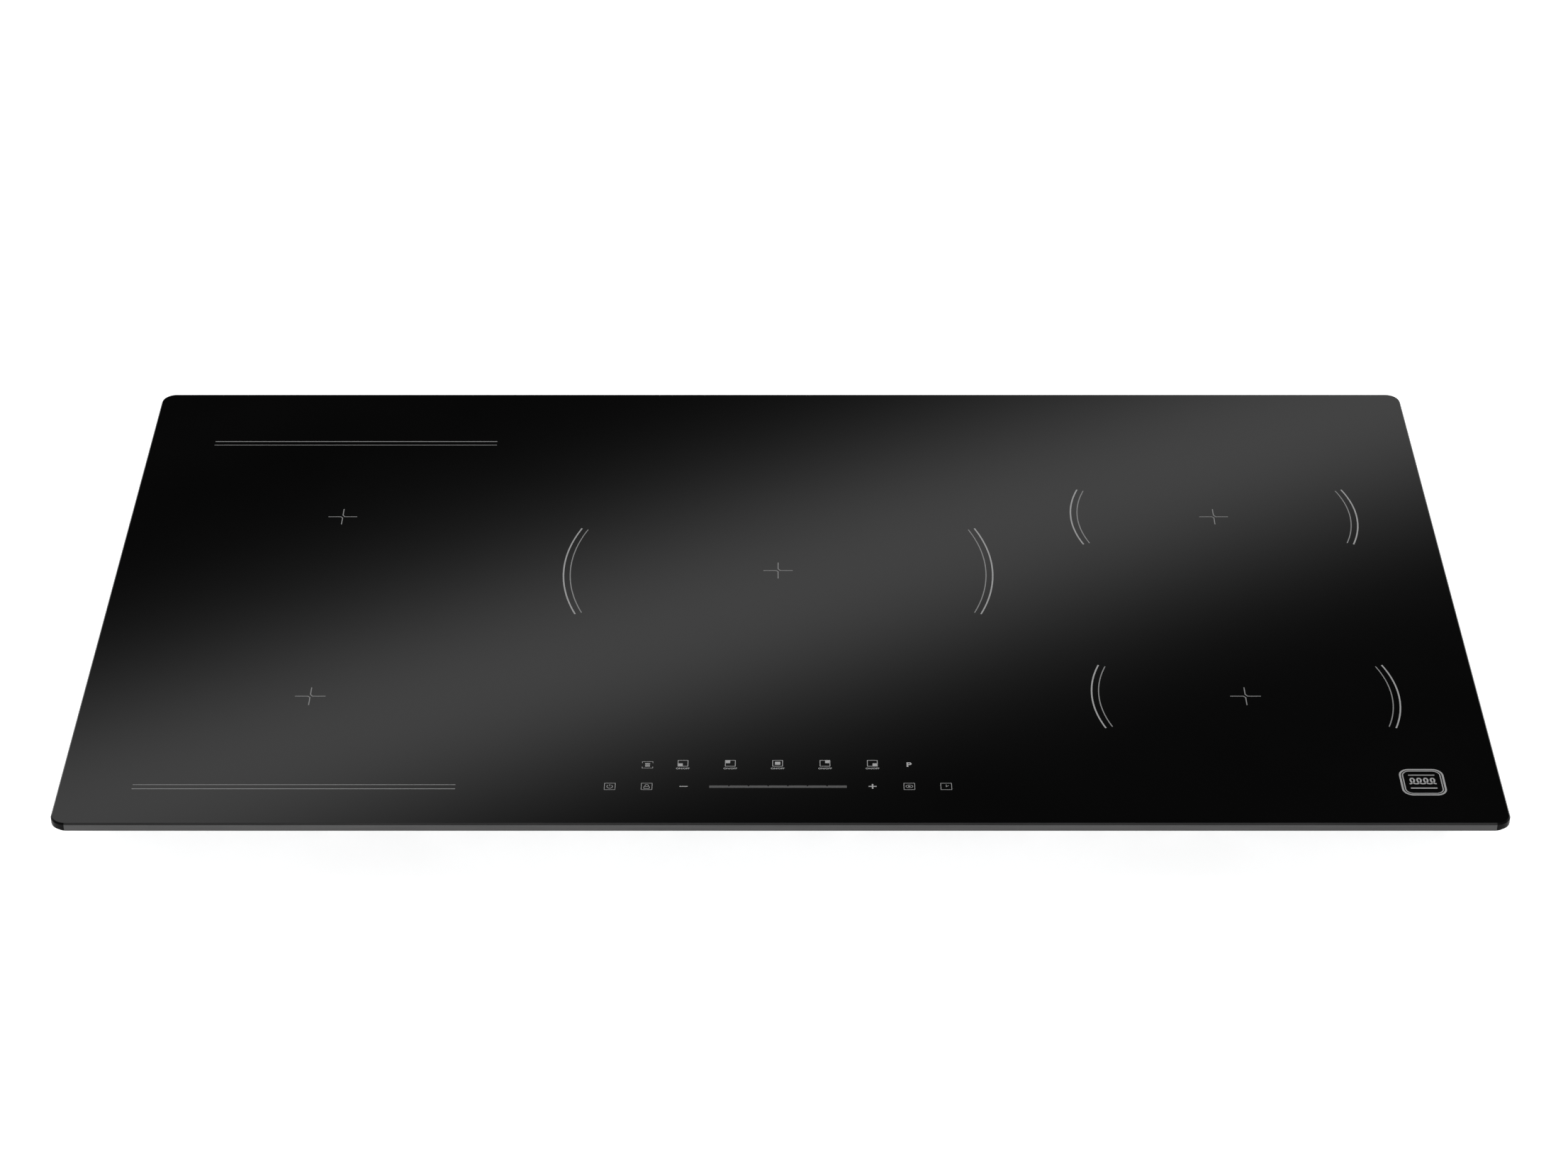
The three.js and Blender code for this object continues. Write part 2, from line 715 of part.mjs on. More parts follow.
// An extruded comb: its fins run along the blower's air stream.
function heatsink() {
  const [from, to] = HEATSINK_X;
  const starts = evenly(FINS, from, to - FIN_THICKNESS);
  const comb = starts.flatMap((x) => [
    [x, HEATSINK_BASE],
    [x, HEATSINK_HEIGHT],
    [x + FIN_THICKNESS, HEATSINK_HEIGHT],
    [x + FIN_THICKNESS, HEATSINK_BASE],
  ]);
  const outline = [[from, 0], ...comb.slice(1, -1), [to, 0]];
  return alongY(polygon(outline), HEATSINK_Y[0], HEATSINK_Y[1]);
}

function filterBoard() {
  const parts = [
    ...FUSE_X.map((x) => [x, FUSE_Y, ...FUSE]),
    ...evenly(3, ...FILTER_RELAY_X).map((x) => [x, FILTER_RELAY_Y, ...FILTER_RELAY]),
    ...column(3, VARISTOR_X, VARISTOR_Y, VARISTOR),
  ];
  return join([box(FILTER_X, FILTER_Y, BOARD), ...soldered(parts)]);
}

function filterChoke() {
  const ring = circle(CHOKE_RADIUS, ROUND_SIDES);
  ring.holes.push(circle(CHOKE_BORE, ROUND_SIDES));
  return prism(ring, 0, CHOKE_HEIGHT);
}

function filterCapacitor() {
  const [width, depth, height] = FILTER_CAPACITOR;
  return roundedStack(width, depth, FILTER_CAPACITOR_CORNER, [
    [0, 0],
    [0, height - FILTER_CAPACITOR_BEVEL],
    [FILTER_CAPACITOR_BEVEL, height],
  ]);
}

// ---------------------------------------------------------------- blowers

// The scroll seen from above, drawn in by the wall when it is the hollow of the housing.
function scroll(inset, outletY) {
  const start = THREE.MathUtils.degToRad(SCROLL_START_DEG);
  const sweep = THREE.MathUtils.degToRad(SCROLL_SWEEP_DEG);
  const spiral = evenly(SCROLL_STEPS, 0, 1).map((share) => {
    const grown = SCROLL_START_RADIUS + share * (SCROLL_END_RADIUS - SCROLL_START_RADIUS);
    const radius = grown - inset;
    const angle = start - share * sweep;
    return [radius * Math.cos(angle), radius * Math.sin(angle)];
  });
  const tongue = SCROLL_START_RADIUS * Math.cos(start) + inset;
  return polygon([[SCROLL_END_RADIUS - inset, outletY], [tongue, outletY], ...spiral]);
}

function blowerHousing() {
  const roof = BLOWER_HEIGHT - BLOWER_WALL;
  const shell = cut(prism(scroll(0, OUTLET_Y), 0, BLOWER_HEIGHT), [
    prism(scroll(BLOWER_WALL, OUTLET_Y - 2), BLOWER_WALL, roof),
    post(INLET_RADIUS, ROUND_SIDES, -1, BLOWER_WALL + 1),
  ]);
  const spindle = post(SPINDLE_RADIUS, BOSS_SIDES, SPINDLE_FOOT, roof + BLOWER_WALL / 2);
  return join([shell, spindle]);
}

// A drum of forward-curved blades between a back plate and a shroud ring, round a hub.
function blowerImpeller() {
  const shroud = circle(IMPELLER_RADIUS, ROUND_SIDES);
  shroud.holes.push(circle(INLET_RADIUS + 2, ROUND_SIDES));
  const blades = Array.from({ length: BLADES }, (_, i) => {
    const sides = [-BLADE_THICKNESS / 2, BLADE_THICKNESS / 2];
    const blade = box(BLADE_ALONG, sides, BLADE_Z).rotateZ(BLADE_LEAN);
    return blade.translate(BLADE_CIRCLE, 0, 0).rotateZ((TURN * i) / BLADES);
  });
  const drum = join([
    post(IMPELLER_RADIUS, ROUND_SIDES, ...BACK_PLATE_Z),
    post(HUB_RADIUS, POST_SIDES, ...HUB_Z),
    prism(shroud, ...SHROUD_Z),
    ...blades,
  ]);
  const bore = post(SPINDLE_RADIUS + 0.4, BOSS_SIDES, SPINDLE_FOOT - 1, BACK_PLATE_Z[1] + 1);
  return cut(drum, [bore]);
}

// ---------------------------------------------------------------- touch controls

function touchBoard() {
  return box([-TOUCH_HALF_WIDTH, TOUCH_HALF_WIDTH], TOUCH_Y, [
    TOUCH_BOARD_Z,
    TOUCH_BOARD_Z + BOARD_THICKNESS,
  ]);
}

// A shallow plastic tray that carries the touch board by its rim.
function touchHolder() {
  const half = TOUCH_HALF_WIDTH - TOUCH_HOLDER_WALL;
  const top = TOUCH_BOARD_Z - GAP;
  const floor = TOUCH_HOLDER_Z + TOUCH_HOLDER_FLOOR;
  const tray = box([-TOUCH_HALF_WIDTH, TOUCH_HALF_WIDTH], TOUCH_Y, [TOUCH_HOLDER_Z, top]);
  const ys = [TOUCH_Y[0] + TOUCH_HOLDER_WALL, TOUCH_Y[1] - TOUCH_HOLDER_WALL];
  return cut(tray, [box([-half, half], ys, [floor, top + 1])]);
}

// ---------------------------------------------------------------- mains connection

function terminalBlock() {
  const half = TERMINAL_WIDTH / 2;
  const body = box([-half, half], TERMINAL_Y, [FLOOR_Z, TERMINAL_TOP]);
  const pitch = TERMINAL_WIDTH / TERMINAL_POLES;
  const poles = evenly(TERMINAL_POLES, -2 * pitch, 2 * pitch);
  const entryHalf = WIRE_ENTRY_WIDTH / 2;
  const entryY = [TERMINAL_Y[1] - WIRE_ENTRY_DEPTH, TERMINAL_Y[1] + 1];
  return cut(body, [
    ...poles.map((x) => post(WELL_RADIUS, BOSS_SIDES, WELL_FLOOR_Z, TERMINAL_TOP + 1, x, WELL_Y)),
    ...poles.map((x) => box([x - entryHalf, x + entryHalf], entryY, WIRE_ENTRY_Z)),
  ]);
}

// A plastic cover over the terminals' window, hung by a barrel along its upper edge.
function terminalCover() {
  const half = COVER_WIDTH / 2;
  const reach = BARREL_LENGTH / 2;
  const pinEnd = reach + PIN_OVERHANG;
  const ys = [COVER_INNER_Y, COVER_INNER_Y + COVER_SHEET];
  return join([
    box([-half, half], ys, COVER_Z),
    box([-reach, reach], ys, [COVER_Z[1] - 1, HINGE_Z]),
    alongX(circle(BARREL_RADIUS, POST_SIDES, HINGE_Y, HINGE_Z), -reach, reach),
    alongX(circle(PIN_RADIUS, POST_SIDES, HINGE_Y, HINGE_Z), -pinEnd, pinEnd),
  ]);
}

// A plastic bush that grips the wall between two collars, with a free bore for the cable.
function cableGland() {
  const wall = [PAN_REAR_Y - SHEET - GAP, PAN_REAR_Y + GAP];
  const start = wall[0] - GLAND_NUT;
  const end = wall[1] + GLAND_REACH;
  const profile = [
    [GLAND_BORE, start],
    [GLAND_COLLAR, start],
    [GLAND_COLLAR, wall[0]],
    [GLAND_NECK, wall[0]],
    [GLAND_NECK, wall[1]],
    [GLAND_COLLAR, wall[1]],
    [GLAND_COLLAR, wall[1] + GLAND_FLANGE],
    [GLAND_NECK, end],
    [GLAND_BORE, end],
    [GLAND_BORE, start],
  ];
  return turned(profile, GLAND_SIDES).translate(GLAND_X, 0, GLAND_Z);
}

// ---------------------------------------------------------------- worktop clamps

// The arm turns about its screw; its lip bites the underside of the worktop.
function clampBracket() {
  const half = ARM_WIDTH / 2;
  const arm = box([-half, half], [0, ARM_LENGTH], [ARM_Z, ARM_Z + ARM_THICKNESS]);
  const eye = post(half, POST_SIDES, ARM_Z, ARM_Z + ARM_THICKNESS);
  const lip = box([-half, half], [ARM_LENGTH - ARM_LIP_LENGTH, ARM_LENGTH], [
    ARM_Z + ARM_THICKNESS / 2,
    ARM_Z + ARM_THICKNESS + ARM_LIP,
  ]);
  return cut(join([arm, eye, lip]), [post(SCREW_HOLE, POST_SIDES, 0, POCKET_HEIGHT)]);
}

function clampScrew() {
  return join([
    post(SCREW_HEAD_RADIUS, POST_SIDES, SCREW_HEAD_Z, ARM_Z - GAP),
    post(SCREW_RADIUS, POST_SIDES, SCREW_HEAD_Z + 1, SCREW_TOP),
  ]);
}

// ---------------------------------------------------------------- materials

function finish(color, roughness, metalness) {
  return new THREE.MeshStandardMaterial({ color, roughness, metalness });
}

const MATERIALS = {
  blackGlass: finish("#0b0b0d", 0.06, 0),
  sealRubber: finish("#3a3a3c", 0.8, 0),
  zincSteel: finish("#a9adb0", 0.42, 1),
  springSteel: finish("#8d9094", 0.35, 1),
  aluminium: finish("#c2c5c8", 0.38, 1),
  copperLitz: finish("#a3552b", 0.5, 0.8),
  whitePlastic: finish("#d9d7cf", 0.55, 0),
  blackPlastic: finish("#1b1c1e", 0.5, 0),
  ferrite: finish("#3c3d40", 0.7, 0),
  mica: finish("#b59a72", 0.6, 0),
  greenBoard: finish("#1e5b34", 0.45, 0),
  bluePlastic: finish("#2c4a86", 0.45, 0),
};

// ---------------------------------------------------------------- assembly

function piece(parent, name, geometry, material, x = 0, y = 0, z = 0) {
  const mesh = new THREE.Mesh(geometry, material);
  mesh.name = name;
  mesh.position.set(x, y, z);
  parent.add(mesh);
  return mesh;
}

function group(parent, x = 0, y = 0, z = 0) {
  const made = new THREE.Group();
  made.position.set(x, y, z);
  parent.add(made);
  return made;
}

function addHousing(parent) {
  piece(parent, "glass_top", glassTop(), MATERIALS.blackGlass);
  piece(parent, "glass_seal", glassSeal(), MATERIALS.sealRubber);
  piece(parent, "glass_frame", glassFrame(), MATERIALS.zincSteel);
  piece(parent, "base_pan", basePan(), MATERIALS.zincSteel);
}

// One coil with its ferrites, former and temperature probe, in the middle of its zone.
function addCoil(parent, place, y, shape) {
  const coil = group(parent, 0, y, 0);
  const square = shape === "square";
  const radius = square ? SQUARE_COIL_SIDE / 2 : shape;
  const outline = () => (square ? squareCoilOutline() : circle(radius, COIL_SIDES));
  const squareBore = () =>
    roundedRectangle(SQUARE_BORE_SIDE, SQUARE_BORE_SIDE, SQUARE_BORE_CORNER);
  const bore = square ? squareBore() : circle(COIL_BORE, ROUND_SIDES);
  const reach = radius - STAR_MARGIN;
  piece(coil, `ferrite_star_${place}`, ferriteStar(reach), MATERIALS.ferrite, 0, 0, FERRITE_Z);
  const former = coilFormer(outline(), reach - STAR_MARGIN);
  piece(coil, `coil_former_${place}`, former, MATERIALS.whitePlastic, 0, 0, FORMER_Z);
  const winding = coilWinding(outline(), bore);
  piece(coil, `coil_winding_${place}`, winding, MATERIALS.copperLitz, 0, 0, WINDING_Z);
  const sensor = temperatureSensor();
  piece(coil, `temperature_sensor_${place}`, sensor, MATERIALS.whitePlastic, 0, 0, FERRITE_Z);
}

// A carrier plate with the coils on it and the mica sheet that parts them from the glass.
function addCarrier(parent, place, x, width, plateY, micaY, coils) {
  const carrier = group(parent, x);
  const rows = coils.map(([, y]) => y);
  const plate = coilPlate(width, plateY, rows);
  piece(carrier, `coil_plate_${place}`, plate, MATERIALS.aluminium, 0, 0, PLATE_Z);
  coils.forEach(([name, y, shape]) => addCoil(carrier, name, y, shape));
  piece(carrier, `mica_sheet_${place}`, micaSheet(width, micaY, rows), MATERIALS.mica, 0, 0, MICA_Z);
}

// A rear and a front spring under a carrier plate.
function addSprings(parent, place, xs, ys) {
  ["rear", "front"].forEach((row, i) => {
    const name = `plate_spring_${place}_${row}`;
    piece(parent, name, plateSpring(), MATERIALS.springSteel, xs[i], ys[i], FLOOR_Z);
  });
}

function addCoils(parent) {
  addCarrier(parent, "left", LEFT_X, SIDE_PLATE_WIDTH, SIDE_PLATE_Y, SIDE_MICA_Y, [
    ["rear_left", REAR_ROW_Y, "square"],
    ["front_left", FRONT_ROW_Y, "square"],
  ]);
  addCarrier(
    parent,
    "center",
    ZONE_MIDDLE_X,
    CENTER_PLATE_WIDTH,
    CENTER_PLATE_Y,
    CENTER_PLATE_Y,
    [["center", CENTER_ROW_Y, BIG_COIL_RADIUS]],
  );
  addCarrier(parent, "right", RIGHT_X, SIDE_PLATE_WIDTH, SIDE_PLATE_Y, SIDE_MICA_Y, [
    ["rear_right", REAR_ROW_Y, SMALL_COIL_RADIUS],
    ["front_right", FRONT_ROW_Y, SMALL_COIL_RADIUS],
  ]);
  const [leftRearX, rightRearX] = SIDE_SPRING_REAR_X;
  addSprings(parent, "left", [leftRearX, LEFT_X], SIDE_SPRING_Y);
  addSprings(parent, "center", [0, 0], CENTER_SPRING_Y);
  addSprings(parent, "right", [rightRearX, RIGHT_X], SIDE_SPRING_Y);
}

// A blower with the inverter board and the heatsink in its air stream.
function addInverter(parent, place, side) {
  const module = group(parent, side * BLOWER_X, BLOWER_Y, 0);
  const board = inverterBoard();
  piece(module, `inverter_board_${place}`, board, MATERIALS.greenBoard, 0, 0, BOARD_Z);
  const sinkZ = BOARD_Z + BOARD_THICKNESS + GAP;
  piece(module, `heatsink_${place}`, heatsink(), MATERIALS.aluminium, 0, 0, sinkZ);
  const housing = blowerHousing();
  piece(module, `blower_housing_${place}`, housing, MATERIALS.blackPlastic, 0, 0, FLOOR_Z);
  const impeller = blowerImpeller();
  piece(module, `blower_impeller_${place}`, impeller, MATERIALS.blackPlastic, 0, 0, FLOOR_Z);
}

function addElectronics(parent) {
  addInverter(parent, "left", -1);
  addInverter(parent, "right", 1);
  const onBoard = BOARD_Z + BOARD_THICKNESS + GAP;
  const chokePlace = [...CHOKE_PLACE, onBoard];
  const capacitorPlace = [...FILTER_CAPACITOR_PLACE, onBoard];
  piece(parent, "filter_board", filterBoard(), MATERIALS.greenBoard, 0, 0, BOARD_Z);
  piece(parent, "filter_choke", filterChoke(), MATERIALS.copperLitz, ...chokePlace);
  piece(parent, "filter_capacitor", filterCapacitor(), MATERIALS.bluePlastic, ...capacitorPlace);
  piece(parent, "touch_board", touchBoard(), MATERIALS.greenBoard, ZONE_MIDDLE_X);
  piece(parent, "touch_holder", touchHolder(), MATERIALS.blackPlastic, ZONE_MIDDLE_X);
}

function addMainsConnection(parent) {
  piece(parent, "terminal_block", terminalBlock(), MATERIALS.whitePlastic, TERMINAL_X);
  piece(parent, "terminal_cover", terminalCover(), MATERIALS.blackPlastic, TERMINAL_X);
  piece(parent, "cable_gland", cableGland(), MATERIALS.blackPlastic);
}

function addClamps(parent) {
  clampPlaces().forEach(({ side, y, stow }) => {
    const place = `${stow < 0 ? "rear" : "front"}_${side < 0 ? "left" : "right"}`;
    const clamp = group(parent, side * CLAMP_X, y, 0);
    const bracket = piece(clamp, `clamp_bracket_${place}`, clampBracket(), MATERIALS.zincSteel);
    bracket.rotation.z = stow < 0 ? TURN / 2 : 0;
    piece(clamp, `clamp_screw_${place}`, clampScrew(), MATERIALS.springSteel);
  });
}

const cooktop = new THREE.Group();
addHousing(cooktop);
addCoils(cooktop);
addElectronics(cooktop);
addMainsConnection(cooktop);
addClamps(cooktop);

export default cooktop;
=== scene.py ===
"""The looks of a built-in induction cooktop: its glass, print, sheet metal, coils and electronics.

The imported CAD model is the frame. Every piece made here lies where the frame says, in its own
shape functions, in millimetres, and is turned into metres when its object is made.
"""
import math
import random

import bpy
from mathutils import Matrix, Vector


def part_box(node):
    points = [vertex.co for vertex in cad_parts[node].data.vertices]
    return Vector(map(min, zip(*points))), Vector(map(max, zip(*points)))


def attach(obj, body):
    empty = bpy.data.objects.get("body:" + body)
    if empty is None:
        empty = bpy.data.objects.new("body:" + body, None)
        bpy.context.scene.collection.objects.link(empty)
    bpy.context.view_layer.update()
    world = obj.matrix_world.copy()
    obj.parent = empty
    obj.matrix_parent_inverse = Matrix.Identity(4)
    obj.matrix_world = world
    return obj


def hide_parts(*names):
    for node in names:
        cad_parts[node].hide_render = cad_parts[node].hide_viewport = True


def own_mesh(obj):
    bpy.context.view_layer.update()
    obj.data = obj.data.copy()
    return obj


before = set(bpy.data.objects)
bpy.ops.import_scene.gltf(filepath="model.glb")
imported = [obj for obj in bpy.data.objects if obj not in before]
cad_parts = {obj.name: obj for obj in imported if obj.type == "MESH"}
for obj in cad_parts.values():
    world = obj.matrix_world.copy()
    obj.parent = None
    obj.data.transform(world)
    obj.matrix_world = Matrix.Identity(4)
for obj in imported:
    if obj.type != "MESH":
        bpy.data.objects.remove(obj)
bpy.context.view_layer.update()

MM = 0.001
TURN = 2 * math.pi


# ------------------------------------------------------------------ places taken from the frame

def box_mm(node):
    """The lowest and the highest corner of a CAD node, in millimetres."""
    low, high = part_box(node)
    return low / MM, high / MM


def middle_mm(node):
    low, high = box_mm(node)
    return (low + high) / 2


def place_mm(node):
    """Both corners of a CAD node, and the middle of its plan."""
    return *box_mm(node), *middle_mm(node).xy


GLASS_LOW, GLASS_HIGH = box_mm("glass_top")
GLASS_TOP_Z = GLASS_HIGH.z
PAN_LOW, PAN_HIGH = box_mm("base_pan")


# ------------------------------------------------------------------ shapes

class Shape:
    """Vertices in millimetres and faces, each face with the number of its material."""

    def __init__(self, vertices, faces, tones=None):
        self.vertices = [Vector(v) for v in vertices]
        self.faces = [list(face) for face in faces]
        self.tones = list(tones) if tones else [0] * len(self.faces)

    def by(self, matrix):
        vertices = [matrix @ v for v in self.vertices]
        flipped = matrix.determinant() < 0
        faces = [face[::-1] if flipped else face for face in self.faces]
        return Shape(vertices, faces, self.tones)

    def at(self, x=0.0, y=0.0, z=0.0):
        return self.by(Matrix.Translation((x, y, z)))

    def turned(self, angle, axis="Z"):
        return self.by(Matrix.Rotation(angle, 4, axis))

    def toned(self, tone):
        return Shape(self.vertices, self.faces, [tone] * len(self.faces))


def joined(shapes):
    vertices, faces, tones = [], [], []
    for shape in shapes:
        shift = len(vertices)
        vertices += shape.vertices
        faces += [[i + shift for i in face] for face in shape.faces]
        tones += shape.tones
    return Shape(vertices, faces, tones)


def arc(radius, start, end, steps, x=0.0, y=0.0):
    """Points along an arc; the angles are in degrees."""
    angles = [math.radians(start + (end - start) * i / steps) for i in range(steps + 1)]
    return [(x + radius * math.cos(a), y + radius * math.sin(a)) for a in angles]


def circle(radius, sides, x=0.0, y=0.0):
    return arc(radius, 0, 360, sides, x, y)[:-1]


def rounded_rectangle(width, depth, radius, steps=6, x=0.0, y=0.0):
    """The outline of a rectangle with round corners, anticlockwise from its right side."""
    radius = max(min(radius, width / 2, depth / 2), 0.001)
    right, top = width / 2 - radius, depth / 2 - radius
    corners = [(right, top, 0), (-right, top, 90), (-right, -top, 180), (right, -top, 270)]
    return [
        point
        for corner_x, corner_y, start in corners
        for point in arc(radius, start, start + 90, steps, x + corner_x, y + corner_y)
    ]


def shrinking(width, depth, radius, steps=4, x=0.0, y=0.0):
    """Rounded rectangles one within the other, each asked for by its inset."""
    return lambda inset: rounded_rectangle(
        width - 2 * inset, depth - 2 * inset, radius - inset, steps, x, y
    )


def level(outline, z):
    return [(x, y, z) for x, y in outline]


def loft(loops, closed=False, tones=None):
    """A solid through loops of equally many points; a closed one joins its last loop to its first."""
    count = len(loops[0])
    vertices = [point for loop in loops for point in loop]
    faces, marks = [], []
    bands = len(loops) if closed else len(loops) - 1
    for band in range(bands):
        low = band * count
        high = (band + 1) % len(loops) * count
        for i in range(count):
            j = (i + 1) % count
            faces.append([low + i, low + j, high + j, high + i])
            marks.append(tones[band] if tones else 0)
    if not closed:
        last = (len(loops) - 1) * count
        faces.append(list(range(count))[::-1])
        faces.append([last + i for i in range(count)])
        marks += [tones[bands], tones[bands + 1]] if tones else [0, 0]
    return Shape(vertices, faces, marks)


def plate(outline, low, high):
    return loft([level(outline, low), level(outline, high)])


def upright_plate(outline, low, high):
    """A plate whose outline stands upright, seen from the front."""
    return plate(outline, low, high).turned(TURN / 4, "X")


def stacked(outline_at, section, closed=False, tones=None):
    """A solid through the outlines at each (inset, height) of a section."""
    return loft([level(outline_at(inset), z) for inset, z in section], closed, tones)


def soft_plate(outline_at, low, high, edge, steps=3):
    """A plate with rounded upper and lower edges; outline_at(inset) gives its outline."""
    below = [(edge * (1 - math.sin(a)), low + edge * (1 - math.cos(a))) for a in quarter(steps)]
    above = [(inset, high + low - z) for inset, z in below[::-1]]
    return stacked(outline_at, below + above)


def quarter(steps):
    return [TURN / 4 * i / steps for i in range(steps + 1)]


def block(width, depth, low, high, edge=0.6, corner=None, steps=2):
    """A box standing on low, centred on the axis, with all of its edges rounded."""
    corner = edge if corner is None else corner

    def outline(inset):
        return rounded_rectangle(
            width - 2 * inset, depth - 2 * inset, max(corner - inset, 0.05), max(steps, 2)
        )

    return soft_plate(outline, low, high, edge, steps)


NEAR_AXIS = 0.002


def lathe(profile, sides=32):
    """A solid of (radius, z) pairs turned about Z."""
    return loft([level(circle(max(r, NEAR_AXIS), sides), z) for r, z in profile])


def ring(profile, sides=48):
    """A ring whose section is a closed line of (radius, z) pairs."""
    return loft([level(circle(r, sides), z) for r, z in profile], closed=True)


def turn_angles(count):
    return [TURN * i / count for i in range(count)]


def unit(dx, dy):
    length = math.hypot(dx, dy) or 1.0
    return dx / length, dy / length


def ribbon(points, width, low, high, closed=False):
    """A flat strip of one width along a line of points, with mitred corners."""
    count = len(points)
    left, right = [], []
    for i, (x, y) in enumerate(points):
        before = points[i - 1] if closed or i else None
        after = points[(i + 1) % count] if closed or i + 1 < count else None
        ahead = unit(after[0] - x, after[1] - y) if after else None
        behind = unit(x - before[0], y - before[1]) if before else None
        ahead, behind = ahead or behind, behind or ahead
        along = unit(ahead[0] + behind[0], ahead[1] + behind[1])
        stretch = 1 / max(along[0] * ahead[0] + along[1] * ahead[1], 0.4)
        offset = width / 2 * stretch
        left.append((x - along[1] * offset, y + along[0] * offset))
        right.append((x + along[1] * offset, y - along[0] * offset))
    loops = [
        [(*right[i], low), (*left[i], low), (*left[i], high), (*right[i], high)]
        for i in range(count)
    ]
    return loft(loops, closed=closed)


def tube(points, radius, sides):
    """A round wire along a line in space."""
    loops = []
    path = [Vector(p) for p in points]
    side = None
    for i, point in enumerate(path):
        along = (path[min(i + 1, len(path) - 1)] - path[max(i - 1, 0)]).normalized()
        if side is None:
            side = along.orthogonal()
        side = (side - along * side.dot(along)).normalized()
        up = along.cross(side)
        loops.append([
            tuple(point + (side * math.cos(a) + up * math.sin(a)) * radius)
            for a in turn_angles(sides)
        ])
    return loft(loops)


# ------------------------------------------------------------------ objects

def build(name, shape, finishes, stands_for=None, body="hob", bevel=0.0, smooth=38.0):
    """One object of closed shapes that rides on a body and may stand for a CAD node."""
    mesh = bpy.data.meshes.new(name)
    mesh.from_pydata([v * MM for v in shape.vertices], [], shape.faces)
    finishes = [finishes] if isinstance(finishes, str) else finishes
    for finish in finishes:
        mesh.materials.append(FINISHES[finish][0])
    mesh.polygons.foreach_set("material_index", shape.tones)
    obj = bpy.data.objects.new(name, mesh)
    bpy.context.scene.collection.objects.link(obj)
    shade(obj, smooth)
    if bevel:
        modifier = obj.modifiers.new("rounded_edges", "BEVEL")
        modifier.width = bevel * MM
        modifier.segments = 2
        modifier.limit_method = "ANGLE"
        modifier.angle_limit = math.radians(40)
        modifier.harden_normals = True
    weighted = obj.modifiers.new("flat_faces_stay_flat", "WEIGHTED_NORMAL")
    weighted.keep_sharp = True
    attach(obj, body)
    if stands_for:
        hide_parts(stands_for)
    return obj


def shade(obj, smooth):
    mesh = obj.data
    mesh.polygons.foreach_set("use_smooth", [True] * len(mesh.polygons))
    mesh.set_sharp_from_angle(angle=math.radians(smooth))
    mesh.update()


# ------------------------------------------------------------------ materials

class Nodes:
    """A node tree, with short calls that add nodes and link them."""

    def __init__(self, owner):
        owner.use_nodes = True
        self.tree = owner.node_tree

    def node(self, kind, **settings):
        made = self.tree.nodes.new("ShaderNode" + kind)
        for key, value in settings.items():
            setattr(made, key, value)
        return made

    def link(self, source, target):
        self.tree.links.new(source, target)

    def math(self, operation, first, second=0.0, third=0.0):
        made = self.node("Math", operation=operation)
        for socket, value in zip(made.inputs, (first, second, third)):
            if isinstance(value, (int, float)):
                socket.default_value = value
            else:
                self.link(value, socket)
        return made.outputs[0]

    def spread(self, value, start, end, low=0.0, high=1.0, kind="LINEAR"):
        """The range from start to end, brought to low and high."""
        made = self.node("MapRange", interpolation_type=kind)
        for name, number in zip(("From Min", "From Max", "To Min", "To Max"), (start, end, low, high)):
            made.inputs[name].default_value = number
        self.link(value, made.inputs["Value"])
        return made.outputs["Result"]

    def fade(self, value, start, end, low=0.0, high=1.0):
        return self.spread(value, start, end, low, high, "SMOOTHSTEP")

    def parts(self, vector):
        """The X, Y and Z of a vector or a colour."""
        made = self.node("SeparateXYZ")
        self.link(vector, made.inputs["Vector"])
        return made.outputs["X"], made.outputs["Y"], made.outputs["Z"]

    def coordinates(self, kind="Object"):
        return self.node("TexCoord").outputs[kind]

    def ray(self, kind):
        return self.node("LightPath").outputs[kind]


